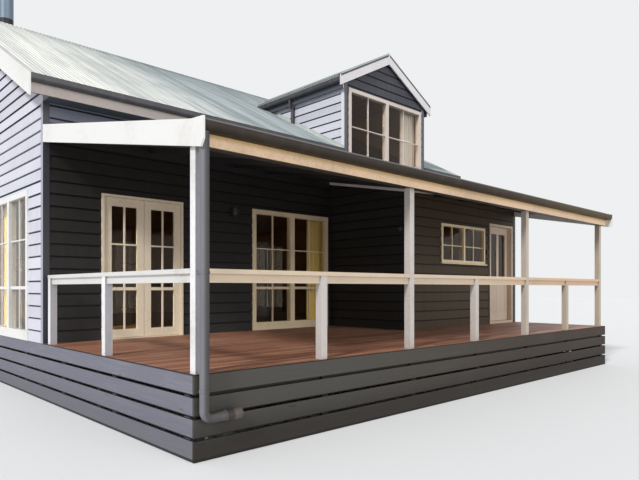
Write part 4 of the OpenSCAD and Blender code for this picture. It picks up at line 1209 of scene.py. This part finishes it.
def hang_curtain(name, stand, left, right, low, rod_z):
    """A curtain in folds that open towards its hem; left and right are its sides."""
    high = rod_z - 0.013
    width = right - left
    folds = max(3, round(width / 0.075))
    across, down = folds * 14, 26
    phase = [chance.uniform(0, 6.28) for _ in range(4)]

    def place(i, j):
        u, v = i / across, j / down
        swing = 0.018 + 0.012 * v + 0.004 * math.sin(3.1 * u * folds + phase[0])
        turn = 2 * math.pi * folds * u + 0.5 * v * math.sin(4.0 * u + phase[1])
        fold = math.sin(turn) + 0.22 * math.sin(2 * turn + phase[2] + 1.5 * v)
        drift = 0.010 * v * math.sin(9.0 * u + phase[3])
        hem = 0.004 * math.sin(turn * 0.5 + phase[2]) * v
        side = left + width * (u + 0.014 * v * math.sin(2 * turn) * (0.2 < u < 0.8))
        return stand(side + drift * (0.1 < u < 0.9), ROD_BACK + swing * fold * 0.92,
                     high - (high - low) * v + hem)

    mesh = bmesh.new()
    grid = [[place(i, j) for i in range(across + 1)] for j in range(down + 1)]
    middle = grid[down // 2]
    cut = sum(math.dist(a, b) for a, b in zip(middle, middle[1:]))
    add_folded(mesh, grid, 0.0014)
    piece = finish_piece(mesh, name, "cloth", smooth=True)
    return piece


def curtains():
    """Curtains on their rods at the long window, the dormer and the left gable."""
    rods = bmesh.new()
    tip = [(0.0, 0.004), (0.008, 0.016), (0.022, 0.021), (0.036, 0.016), (0.044, 0.011)]
    radius = 0.011

    def add_rod(axis, centre, long):
        outline = tip + [(0.046, radius), (long - 0.046, radius)]
        outline += [(long - at, r) for at, r in reversed(tip)]
        add_turned(rods, centre, axis, outline, 16)

    add_rod(0, (DINING[0] - 0.12, FRONT_Y + ROD_BACK, ROD_Z), 2.18)
    add_rod(0, (DORMER_WINDOW[0] + 0.03, DORMER_Y + ROD_BACK, DORMER_ROD_Z), 2.41)
    add_rod(1, (ROD_BACK, GABLE_FRONT[0] - 0.12, ROD_Z), 2.18)
    finish_piece(rods, "curtain_rods", "steel", smooth=True)
    for name, stand, left, right, low, rod_z in (
            ("dining_curtain_left", ON_FRONT, 3.672, 3.872, 0.06, ROD_Z),
            ("dining_curtain_right", ON_FRONT, 5.174, 5.564, 0.06, ROD_Z),
            ("dormer_curtain", ON_DORMER, 7.765, 8.275, 3.49, DORMER_ROD_Z),
            ("gable_curtain_near", ON_LEFT, 4.685, 4.935, 0.06, ROD_Z),
            ("gable_curtain_far", ON_LEFT, 6.277, 6.577, 0.06, ROD_Z)):
        curtain = hang_curtain(name, stand, left, right, low, rod_z)
        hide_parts("curtains")


# Lamps and door furniture

def lamps():
    """Opal lenses and guards on the two wall lamps, and a small bell box by the entry door."""
    lens, guard = bmesh.new(), bmesh.new()
    x, z, stretch = 3.236, 2.15, 0.05
    side_y, side_z = 2.135, 1.88
    dome = [(0.0, 0.051), (-0.008, 0.050), (-0.018, 0.044), (-0.026, 0.030), (-0.030, 0.010)]
    add_turned(lens, (x, 3.956, z), 1, dome, 40, stretch)
    add_turned(lens, (SUN_X - 0.039, side_y, side_z), 0, [(a, r * 0.8) for a, r in dome], 40)
    finish_piece(lens, "lamp_lenses", "opal", smooth=True)
    rim = [(0.004, 0.062), (-0.006, 0.062), (-0.009, 0.058), (-0.009, 0.052)]
    add_turned(guard, (x, 3.957, z), 1, rim, 40, stretch)
    add_block(guard, (x - 0.006, 3.918, z - 0.078), (x + 0.006, 3.924, z + 0.078), 0.002)
    for level in (z - 0.03, z + 0.03):
        low, high = level - 0.005, level + 0.005
        add_block(guard, (x - 0.056, 3.919, low), (x + 0.056, 3.925, high), 0.002)
        for side in (x - 0.056, x + 0.044):
            add_block(guard, (side, 3.921, low), (side + 0.012, 3.952, high), 0.002)
    for low in (z - 0.078, z + 0.066):
        add_block(guard, (x - 0.006, 3.920, low), (x + 0.006, 3.952, low + 0.012), 0.002)
    add_turned(guard, (SUN_X - 0.038, side_y, side_z), 0, [(a, r * 0.78) for a, r in rim], 40)
    add_block(guard, (8.405, SUN_Y - 0.028, 1.50), (8.455, SUN_Y + 0.012, 1.60), 0.006)
    add_turned(guard, (8.43, SUN_Y - 0.027, 1.57), 1,
               [(0.0, 0.010), (-0.004, 0.010), (-0.006, 0.006)], 20)
    finish_piece(guard, "lamp_guards", "lamp")


def entry_door_panels():
    """Upright lining boards in the sunk panels of the entry door, on both faces."""
    mesh = bmesh.new()
    left, near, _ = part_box("entry_door")[0] - ORIGIN
    far = near + 0.040
    leaf_w, mid, stile = 0.898, 0.090, 0.125
    low, high, gap = 0.262, 0.856, 0.003
    panel = (leaf_w - 2 * stile - mid) / 2
    board = panel / 5
    for i in (0, 1):
        for k in range(5):
            u = left + stile + i * (panel + mid) + k * board
            for a, b in ((near + 0.002, near + 0.010), (far - 0.010, far - 0.002)):
                add_block(mesh, (u + gap / 2, a, low), (u + board - gap / 2, b, high), 0.003)
    finish_piece(mesh, "entry_door_panels", "door_cream", "entry_door")


def skirt_nails():
    """Nail heads where the skirt boards cross their battens."""
    mesh = bmesh.new()
    head = [(0.001, 0.004), (0.0, 0.004), (0.0, 0.002)]
    for i in range(7):
        x = 0.085 + i * POST_PITCH / 2
        for k in range(4):
            for down in (0.05, 0.145):
                for side in (-0.02, 0.02):
                    add_turned(mesh, (x + side, 0.0, -down - k * SKIRT_PITCH), 1, head, 8)
    finish_piece(mesh, "skirt_nails", "steel")


# Studio

def aim(name, data, direction):
    """Adds a camera or lamp that looks along a direction."""
    made = bpy.data.objects.new(name, data)
    made.rotation_euler = Vector(direction).to_track_quat("-Z", "Y").to_euler()
    bpy.context.scene.collection.objects.link(made)
    return made


def set_up_camera():
    """Camera at the photographed angle: level, its frame shifted up to take in the roof."""
    data = bpy.data.cameras.new("camera")
    data.sensor_width = 36.0
    data.lens = 32.07
    data.shift_y = 0.0753
    camera = aim("camera", data, (0.68926, 0.72452, 0.0))
    camera.location = (-7.541, -10.975, 1.566)
    bpy.context.scene.camera = camera


def add_sun(name, direction, strength, spread):
    """A soft distant lamp that shines along a direction."""
    data = bpy.data.lights.new(name, "SUN")
    data.energy = strength
    data.angle = math.radians(spread)
    aim(name, data, direction)


def set_up_studio():
    """Pale floor, pale surround and soft lamps from the left and the front."""
    scene = bpy.context.scene
    scene.view_settings.view_transform = "Standard"
    add_sun("key_lamp", (1.0, 0.30, -0.78), 2.3, 9)
    add_sun("fill_lamp", (-0.10, 1.0, -0.32), 0.95, 40)
    scene.world = bpy.data.worlds.new("surround")
    f = Finish("surround", scene.world)
    camera, gloss, glass = [f.node("LightPath", out=f"Is {ray} Ray")
                            for ray in ("Camera", "Glossy", "Transmission")]
    light = f.node("Background", inputs={"Color": (0.93, 0.96, 1.0), "Strength": 0.55})
    seen = f.node("Background", inputs={"Color": (0.86, 0.87, 0.88), "Strength": 1.0})
    f.make("OutputWorld", inputs={"Surface": f.node("MixShader", inputs={
        0: camera.top(gloss).top(glass), 1: light, 2: seen})})
    pale = Finish("studio_floor")
    cloud = pale.noise(0.3)
    colour = pale.blend(cloud, (0.80, 0.80, 0.795), (0.82, 0.82, 0.815))
    sheet = bpy.data.meshes.new("studio_floor")
    reach, below = 90.0, -0.004
    corners = [(-reach, -reach), (reach, -reach), (reach, reach), (-reach, reach)]
    sheet.from_pydata([(x, y, below) for x, y in corners], [], [(0, 1, 2, 3)])
    sheet.materials.append(pale.surface(colour, 0.9))
    floor = bpy.data.objects.new("studio_floor", sheet)
    scene.collection.objects.link(floor)


set_up_camera()
set_up_studio()
coat_frame_nodes()
wall_boards()
deck_boards()
roof_sheets()
ridge_capping()
roof_flashings()
gutter_fittings()
window_bars()
curtains()
lamps()
entry_door_panels()
skirt_nails()
